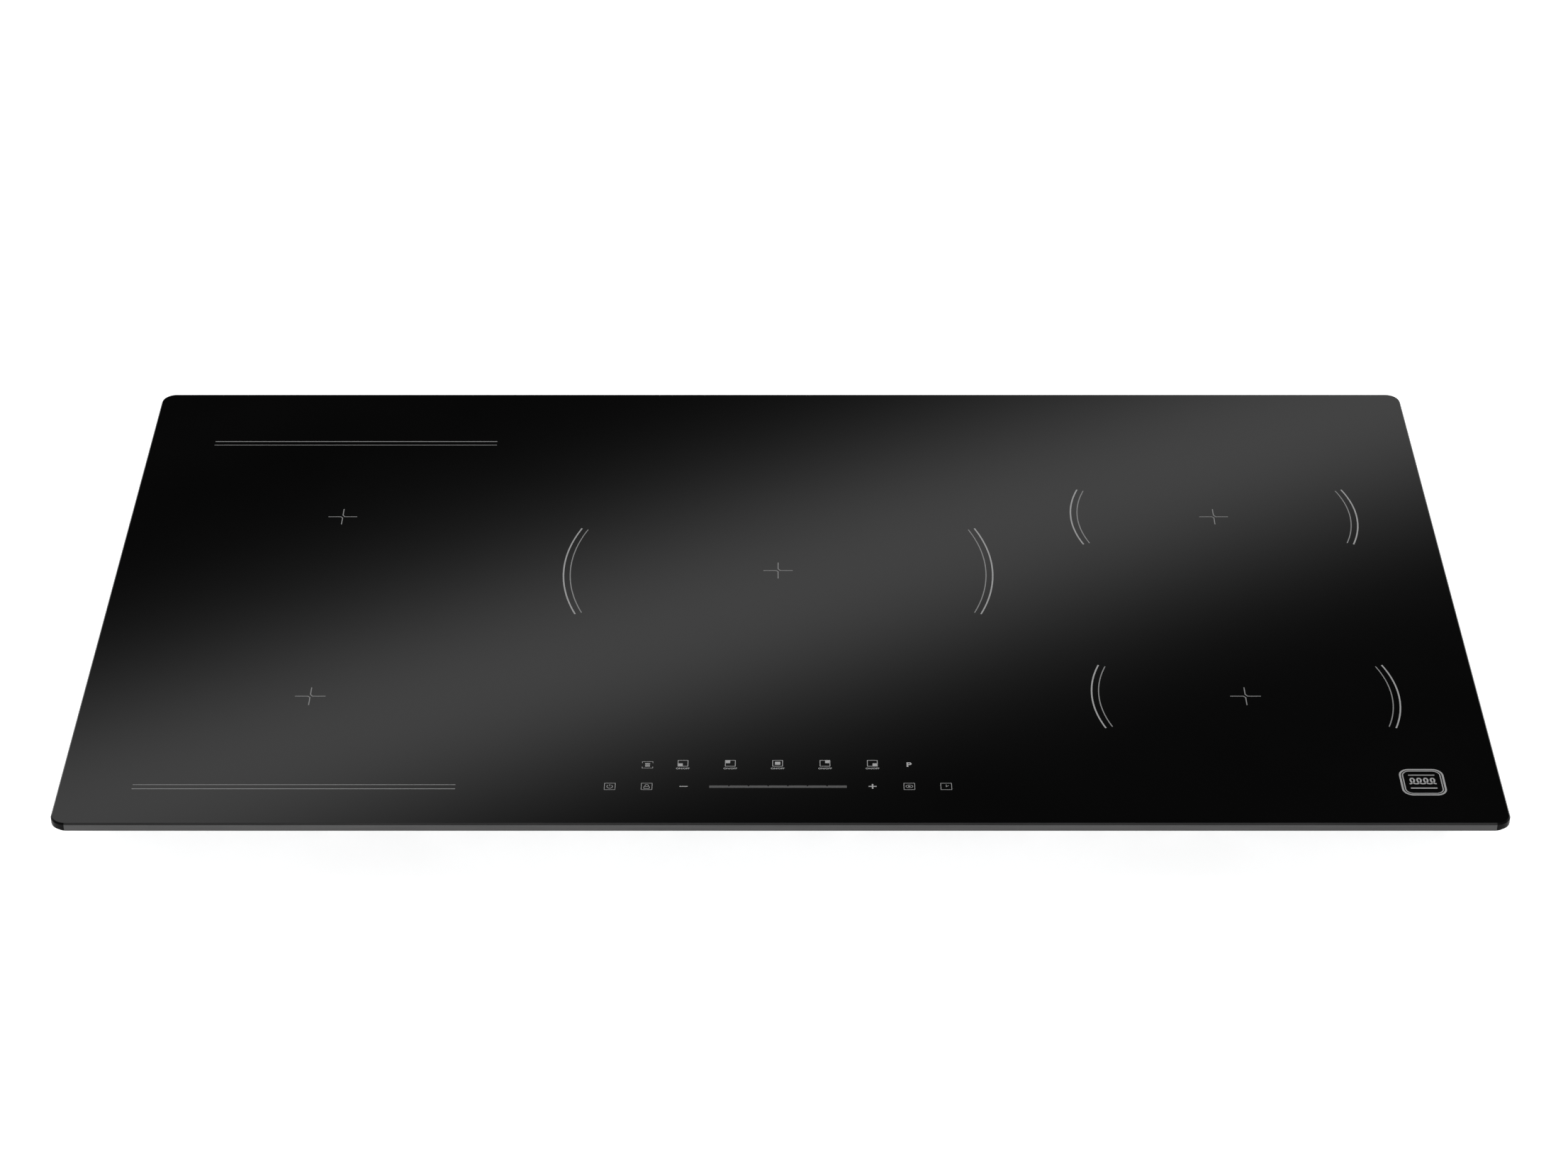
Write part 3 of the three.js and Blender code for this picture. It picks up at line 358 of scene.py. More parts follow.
class Finish(Nodes):
    """A Principled material, with short calls that vary it by textures in object coordinates."""

    def __init__(self, name, color, roughness, metallic=0.0, ior=1.5):
        self.material = bpy.data.materials.new(name)
        super().__init__(self.material)
        self.shader = self.tree.nodes["Principled BSDF"]
        self.shader.inputs["Base Color"].default_value = (*color, 1)
        self.shader.inputs["Roughness"].default_value = roughness
        self.shader.inputs["Metallic"].default_value = metallic
        self.shader.inputs["IOR"].default_value = ior
        self.material.diffuse_color = (*color, 1)
        self.place = self.coordinates()

    def texture(self, kind, scale, stretch, settings, **numbers):
        """A texture in object coordinates, drawn out along the axes whose stretch is below one."""
        mapping = self.node("Mapping")
        mapping.inputs["Scale"].default_value = stretch
        self.link(self.place, mapping.inputs["Vector"])
        made = self.node(kind, **settings)
        made.inputs["Scale"].default_value = scale
        for name, number in numbers.items():
            made.inputs[name].default_value = number
        self.link(mapping.outputs["Vector"], made.inputs["Vector"])
        return made.outputs

    def noise(self, size, stretch=(1, 1, 1), detail=3.0):
        """Soft noise whose features are about this many millimetres wide."""
        return self.texture("TexNoise", 1000 / size, stretch, {}, Detail=detail)["Fac"]

    def cells(self, size, stretch=(1, 1, 1), output="Distance"):
        return self.texture("TexVoronoi", 1000 / size, stretch, {})[output]

    def cell_tones(self, size, stretch=(1, 1, 1)):
        """One grey tone for each cell."""
        tone = self.node("RGBToBW")
        self.link(self.cells(size, stretch, "Color"), tone.inputs["Color"])
        return tone.outputs["Val"]

    def wave(self, size, axis="X", distortion=0.0):
        """Parallel lines at about this pitch."""
        lines = {"bands_direction": axis}
        scale = 1000 / size * 0.314
        return self.texture("TexWave", scale, (1, 1, 1), lines, Distortion=distortion)["Fac"]

    def color(self, factor, dark, light, low=0.3, high=0.7):
        ramp = self.node("ValToRGB")
        for stop, place, tint in zip(ramp.color_ramp.elements, (low, high), (dark, light)):
            stop.position = place
            stop.color = (*tint, 1)
        self.link(factor, ramp.inputs["Fac"])
        self.link(ramp.outputs["Color"], self.shader.inputs["Base Color"])

    def rough(self, factor, low, high):
        self.link(self.spread(factor, 0.3, 0.7, low, high), self.shader.inputs["Roughness"])

    def bump(self, factor, depth, strength=1.0):
        """Relief of about this many millimetres, on top of any relief that is there."""
        relief = self.node("Bump")
        relief.inputs["Strength"].default_value = strength
        relief.inputs["Distance"].default_value = depth * MM
        self.link(factor, relief.inputs["Height"])
        normal = self.shader.inputs["Normal"]
        if normal.links:
            self.link(normal.links[0].from_socket, relief.inputs["Normal"])
        self.link(relief.outputs["Normal"], normal)


def grey(value):
    return (value, value, value)


def glass_finish():
    finish = Finish("black_ceramic_glass", grey(0.003), 0.022)
    finish.color(finish.noise(140), grey(0.0026), grey(0.0034))
    finish.rough(finish.noise(60, detail=5), 0.015, 0.03)
    return finish.material


def bevel_painted_highlight_finish():
    # The bevel is the same black glass as the slab; its base colour, about ten times lighter, is a painted
    # highlight along the rim.
    finish = Finish("glass_bevel_painted_highlight", grey(0.028), 0.12)
    finish.color(finish.noise(9, (0.2, 0.2, 1)), grey(0.025), grey(0.031))
    finish.rough(finish.noise(2), 0.10, 0.18)
    return finish.material


def edge_finish():
    """The ground rim of the glass, with fine lines left along it by the wheel."""
    finish = Finish("ground_glass_edge", grey(0.084), 0.45)
    finish.color(finish.noise(4, (0.1, 0.1, 3)), grey(0.075), grey(0.093))
    finish.rough(finish.noise(3, (0.2, 0.2, 4)), 0.38, 0.52)
    finish.bump(finish.noise(0.5, (0.05, 0.05, 2)), 0.01, 0.5)
    return finish.material


def corner_painted_shade_finish():
    """The rim where it turns round a corner, near black and with a weak reflection: painted shade that
    keeps the corners of the rim dark.
    """
    finish = Finish("glass_corner_painted_shade", grey(0.004), 0.2)
    finish.shader.inputs["Specular IOR Level"].default_value = 0.12
    finish.color(finish.noise(3), grey(0.003), grey(0.005))
    finish.rough(finish.noise(2), 0.16, 0.24)
    return finish.material


def ink_finish(name, tone):
    """Fired enamel print, a little grainy."""
    finish = Finish(name, grey(tone), 0.38)
    finish.color(finish.noise(0.8, detail=4), grey(tone * 0.93), grey(tone * 1.07))
    finish.rough(finish.noise(1.5), 0.32, 0.45)
    finish.bump(finish.noise(0.3), 0.005, 0.4)
    return finish.material


def rubber_finish():
    finish = Finish("closed_cell_seal_foam", grey(0.05), 0.85)
    finish.color(finish.noise(3, detail=5), grey(0.042), grey(0.06))
    finish.bump(finish.cells(0.6), 0.05, 0.6)
    return finish.material


def galvanised_finish():
    """Zinc-coated sheet: faint spangles of slightly different tone and gloss."""
    finish = Finish("galvanised_sheet", grey(0.55), 0.42, metallic=0.85)
    spangle = finish.cell_tones(11)
    finish.color(spangle, (0.46, 0.475, 0.485), (0.60, 0.61, 0.615), 0.1, 0.9)
    finish.rough(spangle, 0.36, 0.50)
    finish.bump(finish.noise(0.7), 0.01, 0.35)
    return finish.material


def spring_finish():
    finish = Finish("rolled_spring_strip", grey(0.30), 0.34, metallic=0.9)
    finish.color(finish.noise(6, (0.05, 1, 1)), grey(0.25), grey(0.36))
    finish.rough(finish.noise(2, (0.05, 1, 1)), 0.26, 0.42)
    finish.bump(finish.noise(0.6, (0.03, 1, 1)), 0.006, 0.4)
    return finish.material


def screw_finish():
    """Bright zinc plating with a faint warm cast."""
    finish = Finish("zinc_plating", (0.62, 0.62, 0.58), 0.28, metallic=1.0)
    finish.color(finish.noise(4), (0.56, 0.56, 0.51), (0.68, 0.68, 0.65))
    finish.rough(finish.noise(1.5), 0.22, 0.38)
    finish.bump(finish.noise(0.4), 0.006, 0.4)
    return finish.material


def aluminium_finish():
    """Mill-finished sheet with rolling lines from front to rear."""
    finish = Finish("mill_finished_aluminium", grey(0.72), 0.34, metallic=0.95)
    finish.color(finish.noise(9, (1, 0.02, 1)), grey(0.66), grey(0.77))
    finish.rough(finish.noise(2, (1, 0.02, 1)), 0.28, 0.44)
    finish.bump(finish.noise(0.8, (1, 0.01, 1)), 0.006, 0.4)
    return finish.material


def extrusion_finish():
    finish = Finish("extruded_aluminium", grey(0.66), 0.38, metallic=0.95)
    finish.color(finish.noise(3, (1, 0.01, 1)), grey(0.58), grey(0.71))
    finish.bump(finish.wave(1.1, "Z", 0.6), 0.03, 0.5)
    finish.bump(finish.noise(0.5, (1, 0.01, 1)), 0.008, 0.4)
    return finish.material


LITZ_LAY = 9.0
LITZ_STRANDS = 8
LITZ_MAP = "strands"


def litz_finish():
    """Enamelled strands twisted round each other; the map gives metres along and turns round."""
    finish = Finish("enamelled_litz", (0.42, 0.17, 0.07), 0.36, metallic=0.7)
    along, turns, _ = finish.parts(finish.node("UVMap", uv_map=LITZ_MAP).outputs["UV"])
    around = finish.math("MULTIPLY", turns, LITZ_STRANDS)
    phase = finish.math("MULTIPLY_ADD", along, LITZ_STRANDS / (LITZ_LAY * MM), around)
    ridge = finish.math("MULTIPLY", finish.math("PINGPONG", phase, 0.5), 2.0)
    # The grooves between the strands are coloured darker than their crests: painted shade, on top of their
    # relief.
    finish.color(ridge, (0.16, 0.055, 0.02), (0.52, 0.23, 0.10), 0.0, 0.55)
    finish.rough(finish.noise(3), 0.30, 0.45)
    finish.bump(ridge, 0.25, 0.7)
    return finish.material


def magnet_wire_finish():
    finish = Finish("enamelled_magnet_wire", (0.50, 0.19, 0.07), 0.25, metallic=0.85)
    finish.color(finish.noise(7), (0.42, 0.15, 0.05), (0.58, 0.25, 0.10))
    finish.rough(finish.noise(2), 0.18, 0.32)
    return finish.material


def former_finish():
    """Glass-filled heat-resistant moulding, slightly mottled."""
    finish = Finish("heat_resistant_moulding", (0.70, 0.68, 0.61), 0.55)
    finish.color(finish.noise(8, detail=6), (0.64, 0.62, 0.55), (0.74, 0.72, 0.66))
    finish.rough(finish.noise(1.2), 0.48, 0.62)
    finish.bump(finish.noise(0.5), 0.02, 0.4)
    return finish.material


def ferrite_finish():
    finish = Finish("sintered_ferrite", grey(0.05), 0.55)
    finish.color(finish.noise(2, detail=6), (0.035, 0.035, 0.038), (0.072, 0.070, 0.070))
    finish.rough(finish.noise(1.0), 0.45, 0.65)
    finish.bump(finish.cells(0.35), 0.02, 0.5)
    return finish.material


def mica_finish():
    """Pressed mica paper: overlapping golden flakes under a thin binder."""
    finish = Finish("mica_paper_board", (0.52, 0.39, 0.24), 0.38)
    flakes = finish.cell_tones(2.2, (1, 1, 0.2))
    finish.color(flakes, (0.43, 0.31, 0.18), (0.62, 0.49, 0.32), 0.1, 0.9)
    finish.rough(flakes, 0.28, 0.48)
    finish.bump(finish.cells(2.2, (1, 1, 0.2)), 0.02, 0.4)
    return finish.material


def ceramic_finish():
    finish = Finish("unglazed_ceramic", (0.82, 0.81, 0.77), 0.7)
    finish.color(finish.noise(3, detail=5), (0.76, 0.75, 0.70), (0.85, 0.84, 0.81))
    finish.bump(finish.noise(0.25), 0.01, 0.5)
    return finish.material


def board_finish():
    """Solder mask over copper: patches of parallel tracks that run one way or the other."""
    finish = Finish("solder_mask_over_copper", (0.02, 0.13, 0.06), 0.32)
    red, green, _ = finish.parts(finish.cells(14, (1, 1, 0.01), "Color"))
    across = finish.math("GREATER_THAN", red, 0.5)
    tracked = finish.math("GREATER_THAN", green, 0.3)
    along_y = finish.math("MULTIPLY", finish.wave(2.4, "X"), across)
    along_x = finish.math("MULTIPLY", finish.wave(2.4, "Y"), finish.math("SUBTRACT", 1.0, across))
    tracks = finish.math("MULTIPLY", finish.math("ADD", along_x, along_y), tracked)
    finish.color(tracks, (0.014, 0.085, 0.038), (0.030, 0.155, 0.070), 0.48, 0.56)
    finish.rough(finish.noise(5), 0.26, 0.40)
    finish.bump(tracks, 0.03, 0.3)
    finish.bump(finish.noise(0.7, (1, 1, 0.1)), 0.006, 0.4)
    return finish.material


def film_box_finish():
    finish = Finish("capacitor_box", (0.045, 0.11, 0.33), 0.33)
    finish.color(finish.noise(12), (0.038, 0.095, 0.29), (0.052, 0.13, 0.37))
    finish.rough(finish.noise(1.5), 0.27, 0.42)
    finish.bump(finish.noise(0.4), 0.008, 0.4)
    return finish.material


def can_sleeve_finish():
    finish = Finish("shrunk_can_sleeve", (0.018, 0.022, 0.045), 0.28)
    finish.color(finish.noise(8, (1, 1, 0.2)), (0.014, 0.018, 0.036), (0.024, 0.030, 0.060))
    finish.rough(finish.noise(3), 0.22, 0.36)
    return finish.material


def dark_moulding(name, tone, roughness):
    """Dark moulded plastic with the fine spark-eroded grain of its tool."""
    finish = Finish(name, grey(tone), roughness)
    finish.color(finish.noise(14, detail=5), grey(tone * 0.85), grey(tone * 1.2))
    finish.rough(finish.noise(1.2), roughness - 0.06, roughness + 0.08)
    finish.bump(finish.cells(0.35), 0.02, 0.45)
    return finish.material


def tin_finish():
    finish = Finish("tinned_metal", grey(0.62), 0.32, metallic=1.0)
    finish.color(finish.noise(1.5), grey(0.54), grey(0.70))
    finish.rough(finish.noise(0.8), 0.24, 0.42)
    return finish.material


def all_finishes():
    """Each finish by its short name, with the record's slot that it belongs to."""
    moulding = former_finish()
    return {
        "glass": (glass_finish(), "black_glass"),
        # The bevel's lighter tone is a painted highlight.
        "bevel": (bevel_painted_highlight_finish(), "black_glass"),
        "ground_rim": (edge_finish(), "black_glass"),
        # The corner rim's near-black finish is painted shade.
        "corner": (corner_painted_shade_finish(), "black_glass"),
        "bright_ink": (ink_finish("bright_enamel_ink", 0.40), None),
        "arc_ink": (ink_finish("arc_enamel_ink", 0.36), None),
        "fine_ink": (ink_finish("fine_enamel_ink", 0.26), None),
        "slider_ink": (ink_finish("slider_enamel_ink", 0.095), None),
        "rubber": (rubber_finish(), "seal_rubber"),
        "galvanised": (galvanised_finish(), "galvanised_steel"),
        "spring": (spring_finish(), "spring_steel"),
        "screw": (screw_finish(), "screw_steel"),
        "aluminium": (aluminium_finish(), None),
        "extrusion": (extrusion_finish(), "aluminium_extrusion"),
        "litz": (litz_finish(), "enamelled_wire"),
        "magnet_wire": (magnet_wire_finish(), "enamelled_wire"),
        "white_plastic": (moulding, "former_plastic"),
        "terminal_plastic": (moulding, "terminal_plastic"),
        "ferrite": (ferrite_finish(), "ferrite"),
        "mica": (mica_finish(), None),
        "ceramic": (ceramic_finish(), "probe_ceramic"),
        "board": (board_finish(), "circuit_board"),
        "film_box": (film_box_finish(), "capacitor_plastic"),
        "can_sleeve": (can_sleeve_finish(), "capacitor_plastic"),
        "black_plastic": (dark_moulding("black_moulding", 0.022, 0.48), "black_plastic"),
        "grey_plastic": (dark_moulding("fan_moulding", 0.055, 0.42), "black_plastic"),
        "chip": (dark_moulding("chip_epoxy", 0.030, 0.55), "black_plastic"),
        "tin": (tin_finish(), None),
    }


FINISHES = all_finishes()


# ------------------------------------------------------------------ the glass

def rim_outline(low, high, corner, steps):
    """Outlines of a CAD box's plan with round corners, drawn in by an inset."""
    middle = (low + high) / 2
    return shrinking(high.x - low.x, high.y - low.y, corner, steps, middle.x, middle.y)


GLASS_CORNER = 10.0
GLASS_BEVEL_INSET = 0.85
GLASS_BEVEL_HEIGHT = 1.15
GLASS_UNDER_BEVEL = 0.15
GROUND_SIDE = 0.9975


def corners_toned(shape, tones):
    """The same shape, with the side faces that turn round its corners in other tones; on the glass these
    tones paint shade on the corners.
    """
    marks = []
    for face, tone in zip(shape.faces, shape.tones):
        a, b, c = (shape.vertices[i] for i in face[:3])
        facing = (b - a).cross(c - a)
        flat = Vector((facing.x, facing.y, 0)).normalized()
        turned = max(abs(flat.x), abs(flat.y)) < GROUND_SIDE
        marks.append(tones.get(tone, tone) if turned else tone)
    return Shape(shape.vertices, shape.faces, marks)


def ceramic_glass():
    """The slab with its polished upper bevel and the fine arris along its lower edge."""
    outline = rim_outline(GLASS_LOW, GLASS_HIGH, GLASS_CORNER, 24)
    low, top = GLASS_LOW.z, GLASS_HIGH.z
    softening = 0.07
    levels = [
        (GLASS_UNDER_BEVEL, low),
        (0.3 * softening, low + GLASS_UNDER_BEVEL - softening),
        (0, low + GLASS_UNDER_BEVEL + softening),
        (0, top - GLASS_BEVEL_HEIGHT - softening),
        (0.5 * softening, top - GLASS_BEVEL_HEIGHT + softening),
        (GLASS_BEVEL_INSET - softening, top - 1.5 * softening),
        (GLASS_BEVEL_INSET + softening, top),
    ]
    # The bevel faces take a lighter finish: a painted highlight.
    top_tone, bevel_highlight_tone, edge_tone, corner_shade_tone = 0, 1, 2, 3
    bands = [edge_tone] * 3 + [bevel_highlight_tone] * 3
    shape = stacked(outline, levels, tones=bands + [top_tone, top_tone])
    # The rim and bevel faces that turn round the corners take a darker finish: painted shade.
    shape = corners_toned(shape, {edge_tone: corner_shade_tone, bevel_highlight_tone: corner_shade_tone})
    build("ceramic_glass", shape, ("glass", "bevel", "ground_rim", "corner"), "glass_top", smooth=15)


# ------------------------------------------------------------------ the print on the glass

PRINT_LOW = GLASS_TOP_Z + 0.004
PRINT_HIGH = GLASS_TOP_Z + 0.03
PRINT_X = middle_mm("coil_winding_center").x


def stroke(points, width, closed=False):
    return ribbon(points, width, PRINT_LOW, PRINT_HIGH, closed)


def patch(outline):
    return plate(outline, PRINT_LOW, PRINT_HIGH)


def printed(name, shapes, ink="bright_ink"):
    return build(name, joined(shapes), ink, smooth=20)


CROSS_REACH = 9.85
CROSS_LINE = 0.62


def cross_strokes():
    """Two bent strokes that pass each other in the middle of a zone."""
    first = [(-CROSS_REACH, 0), (-1.4, 0), (0, -1.4), (0, -CROSS_REACH)]
    second = [(0, CROSS_REACH), (0, 2.0), (1.4, 0), (CROSS_REACH, 0)]
    return [stroke(first, CROSS_LINE), stroke(second, CROSS_LINE)]


def zone_cross(place):
    cross = joined(cross_strokes()).at(*middle_mm(f"coil_winding_{place}").xy)
    printed(f"zone_cross_{place}", [cross], "fine_ink")


ARC_OVERHANG = 8.5
ARC_GAP = 4.5


def zone_arcs(place, half_angle):
    """A pair of arcs on each side of a round zone, the outer one heavier."""
    low, high, x, y = place_mm(f"coil_winding_{place}")
    outer = (high.x - low.x) / 2 + ARC_OVERHANG
    for name, radius, width, ink in (
        ("outer", outer, 1.0, "arc_ink"),
        ("inner", outer - ARC_GAP, 0.68, "fine_ink"),
    ):
        shapes = [
            stroke(arc(radius, start - half_angle, start + half_angle, 32, x, y), width)
            for start in (0, 180)
        ]
        printed(f"zone_{name}_arcs_{place}", shapes, ink)


def joined_zone_lines():
    """Double lines behind and in front of the two square coils that work as one zone."""
    rear, front = middle_mm("coil_winding_rear_left"), middle_mm("coil_winding_front_left")
    reach = 100.2
    lines = [
        ("rear_outer", rear.y + 100.3, 0.84),
        ("rear_inner", rear.y + 95.4, 0.57),
        ("front_inner", front.y - 95.9, 0.55),
        ("front_outer", front.y - 100.2, 0.68),
    ]
    for name, y, width in lines:
        ends = [(rear.x - reach, y), (rear.x + reach, y)]
        printed(f"joined_zone_line_{name}", [stroke(ends, width)], "fine_ink")


def lettering(words, size, x, y, weight=0.0):
    """Plain letters as a thin solid, centred on a point."""
    curve = bpy.data.curves.new("letters", "FONT")
    curve.body = words
    curve.size = size * MM
    curve.align_x = "CENTER"
    curve.align_y = "CENTER"
    curve.offset = weight * MM
    curve.extrude = (PRINT_HIGH - PRINT_LOW) / 2 * MM
    letters = bpy.data.objects.new("letters", curve)
    bpy.context.scene.collection.objects.link(letters)
    graph = bpy.context.evaluated_depsgraph_get()
    mesh = bpy.data.meshes.new_from_object(letters.evaluated_get(graph))
    shape = Shape([v.co / MM for v in mesh.vertices], [list(p.vertices) for p in mesh.polygons])
    bpy.data.objects.remove(letters)
    bpy.data.curves.remove(curve)
    bpy.data.meshes.remove(mesh)
    return shape.at(x, y, (PRINT_LOW + PRINT_HIGH) / 2)


KEY_LINE = 0.40
FINE_LINE = 0.30
ZONE_BOX = (6.6, 6.7)


def key_box(x, y, width, height, corner=0.15, line=KEY_LINE):
    outline = rounded_rectangle(width - line, height - line, corner, 4, x, y)
    return stroke(outline, line, closed=True)


def zone_key(name, x, y, column, row):
    """A small plan of the hob with one quadrant filled, over the words of its switch."""
    plan_y = y + 1.7
    width, height = ZONE_BOX
    if column == 0:
        filled = rounded_rectangle(3.4, 3.2, 0.3, 2, x, plan_y)
    else:
        filled = rounded_rectangle(
            2.9, 2.9, 0.3, 2, x + column * (width / 4 - 0.1), plan_y + row * (height / 4 - 0.1)
        )
    words = lettering("ON/OFF", 2.35, x, y - 3.9, 0.04)
    printed(name, [key_box(x, plan_y, width, height), patch(filled), words])


def bridge_key(x, y):
    """Two brackets round a pair of bars: the sign for joining two zones."""
    top, half, hook = 3.4, 3.3, 1.5
    shapes = []
    for side in (1, -1):
        bracket = [(-half, top - hook), (-half, top), (half, top), (half, top - hook)]
        shapes.append(stroke([(x + dx, y + side * dy) for dx, dy in bracket], FINE_LINE))
        shapes.append(patch(rounded_rectangle(3.1, 1.25, 0.3, 2, x, y + side * 1.05)))
    printed("key_bridge", shapes)


LOWER_BOX = 7.0


def lower_box(x, y):
    return key_box(x, y, LOWER_BOX, LOWER_BOX, line=FINE_LINE)


def power_key(x, y):
    shapes = [
        lower_box(x, y),
        stroke(arc(1.75, 125, 415, 24, x, y - 0.15), FINE_LINE),
        stroke([(x, y + 2.2), (x, y + 0.3)], FINE_LINE),
    ]
    printed("key_power", shapes)


def lock_key(x, y):
    shackle = [(x + 1.05, y - 0.2), *arc(1.05, 0, 180, 12, x, y + 0.9), (x - 1.05, y - 0.2)]
    shapes = [
        lower_box(x, y),
        stroke(shackle, FINE_LINE),
        key_box(x, y - 1.15, 3.7, 2.4, 0.4, FINE_LINE),
    ]
    printed("key_lock", shapes)


def function_key(x, y):
    """An oval with a solid pointer inside it."""
    oval = [(x + 2.1 * math.cos(a), y + 1.5 * math.sin(a)) for a in turn_angles(24)]
    pointer = [(x - 0.6, y + 0.7), (x - 0.6, y - 0.7), (x + 0.9, y)]
    shapes = [
        lower_box(x, y),
        stroke(oval, FINE_LINE, closed=True),
        patch(pointer),
    ]
    printed("key_function", shapes)


def timer_key(x, y):
    hands = [(x, y + 1.9), (x, y - 0.4), (x + 1.5, y + 0.9)]
    printed("key_timer", [lower_box(x, y), stroke(hands, FINE_LINE)])


def minus_key(x, y):
    printed("key_minus", [patch(rounded_rectangle(5.2, 0.75, 0.15, 2, x, y))])


def plus_key(x, y):
    arm, half = 0.46, 2.5
    quarters = [(half, arm), (arm, arm), (arm, half), (-arm, half), (-arm, arm), (-half, arm)]
    outline = quarters + [(-dx, -dy) for dx, dy in quarters]
    printed("key_plus", [patch([(x + dx, y + dy) for dx, dy in outline])])


SLIDER_DROP = 0.3


def slider_scale(x, y):
    """A bar of seven equal stretches, parted by notches in its rear edge."""
    stretches, length, depth, notch = 7, 85.3, 2.4, 1.2
    y -= SLIDER_DROP
    left, right, front, rear = x - length / 2, x + length / 2, y - depth / 2, y + depth / 2
    outline = [(left, front), (right, front), (right, rear)]
    for i in range(stretches - 1, 0, -1):
        middle = left + i * (length / stretches)
        outline += [(middle + notch / 2, rear), (middle, rear - notch), (middle - notch / 2, rear)]
    outline.append((left, rear))
    printed("slider_scale", [patch(outline)], "slider_ink")


UPPER_ROW_Y = -198.3
LOWER_ROW_Y = -221.0
KEY_PITCH = 29.6
BRIDGE_X, BOOST_X = -81.3, 82.0
POWER_X, LOCK_X, MINUS_X, SLIDER_X = -104.1, -81.2, -58.3, 0.25
PLUS_X, FUNCTION_X, TIMER_X = 58.9, 81.7, 104.6


def control_panel():
    """Zone keys and the boost letter in the rear row; power, power level and timer in the front."""
    bridge_key(PRINT_X + BRIDGE_X, UPPER_ROW_Y)
    places = [
        ("key_zone_front_left", -1, -1),
        ("key_zone_rear_left", -1, 1),
        ("key_zone_center", 0, 0),
        ("key_zone_rear_right", 1, 1),
        ("key_zone_front_right", 1, -1),
    ]
    for i, (name, column, row) in enumerate(places):
        zone_key(name, PRINT_X + (i - 2) * KEY_PITCH, UPPER_ROW_Y, column, row)
    boost = lettering("P", 6.4, PRINT_X + BOOST_X, UPPER_ROW_Y, 0.20)
    printed("key_boost", [boost])
    for key, x in (
        (power_key, POWER_X), (lock_key, LOCK_X), (minus_key, MINUS_X), (slider_scale, SLIDER_X),
        (plus_key, PLUS_X), (function_key, FUNCTION_X), (timer_key, TIMER_X),
    ):
        key(PRINT_X + x, LOWER_ROW_Y)


def corner_sign(x, y):
    """A plain square sign with the loops of a coil, the common mark for induction heating."""
    loops, pitch, radius, steps = 4, 4.2, 2.9, 26
    wire = []
    for i in range(loops * steps + 1):
        turn = i / steps
        sideways = (turn - loops / 2) * pitch + radius * 0.72 * math.sin(TURN * turn)
        wire.append((x + sideways, y + 1.2 - radius * math.cos(TURN * turn)))
    frame_line = rounded_rectangle(26.5, 26.5, 6, 8, x, y)
    inner_line = rounded_rectangle(23.3, 23.3, 4.6, 8, x, y)
    shapes = [
        stroke(frame_line, 1.2, closed=True),
        stroke(inner_line, 0.7, closed=True),
        stroke(wire, 1.1),
        stroke([(x - 8.2, y - 6.2), (x + 8.2, y - 6.2)], 1.1),
        stroke([(x - 8.2, y + 7.4), (x + 8.2, y + 7.4)], 0.8),
    ]
    printed("corner_induction_sign", shapes, "arc_ink")


CORNER_SIGN_INSET = (49.1, 42.9)


def glass_print():
    for place in ("center", "rear_right", "front_right", "rear_left", "front_left"):
        zone_cross(place)
    zone_arcs("center", 21.5)
    zone_arcs("rear_right", 21.0)
    zone_arcs("front_right", 21.0)
    joined_zone_lines()
    control_panel()
    inset_x, inset_y = CORNER_SIGN_INSET
    corner_sign(GLASS_HIGH.x - inset_x, GLASS_LOW.y + inset_y)


# ------------------------------------------------------------------ cuts and joins

def temporary(shape):
    mesh = bpy.data.meshes.new("temporary")
    mesh.from_pydata(shape.vertices, [], shape.faces)
    mesh.polygons.foreach_set("material_index", shape.tones)
    obj = bpy.data.objects.new("temporary", mesh)
    bpy.context.scene.collection.objects.link(obj)
    return obj


def carved(shape, tools, operation="DIFFERENCE"):
    """The shape with others cut from it, or joined to it by UNION."""
    body, tool = temporary(shape), temporary(joined(tools))
    modifier = body.modifiers.new("cut", "BOOLEAN")
    modifier.solver = "MANIFOLD"
    modifier.operation = operation
    modifier.object = tool
    graph = bpy.context.evaluated_depsgraph_get()
    made = bpy.data.meshes.new_from_object(body.evaluated_get(graph))
    faces = [list(p.vertices) for p in made.polygons]
    result = Shape([v.co for v in made.vertices], faces, [p.material_index for p in made.polygons])
    meshes = [body.data, tool.data, made]
    bpy.data.objects.remove(body)
    bpy.data.objects.remove(tool)
    for mesh in meshes:
        bpy.data.meshes.remove(mesh)
    return result


def rod(radius, low, high, sides=24):
    return plate(circle(radius, sides), low, high)


def cuboid(x, y, z):
    """A sharp box between three pairs of limits."""
    outline = [(x[0], y[0]), (x[1], y[0]), (x[1], y[1]), (x[0], y[1])]
    return plate(outline, z[0], z[1])


# ------------------------------------------------------------------ fasteners

def dome_screw(radius, height):
    """A screw's head that looks along +Z: a low dome with a cross recess."""
    dome = [(0, height)]
    for a in quarter(6):
        dome.append((radius * math.sin(a) ** 0.9, height * (0.35 + 0.65 * math.cos(a))))
    dome += [(radius, 0), (0, 0)]
    arm, depth = radius * 0.62, height * 0.75
    slot = loft([
        level(rounded_rectangle(arm * 1.1, radius * 0.16, 0.1, 2), height - depth),
        level(rounded_rectangle(arm * 2.0, radius * 0.26, 0.1, 2), height + 0.4),
    ])
    cross = carved(slot, [slot.turned(TURN / 4)], "UNION")
    return carved(lathe(dome[::-1], 28), [cross])


def facing(shape, direction):
    """Turns a shape that looks along +Z to look along another axis."""
    turns = {
        "+X": (TURN / 4, "Y"), "-X": (-TURN / 4, "Y"),
        "-Y": (TURN / 4, "X"), "+Y": (-TURN / 4, "X"), "-Z": (TURN / 2, "X"),
    }
    return shape.turned(*turns[direction])


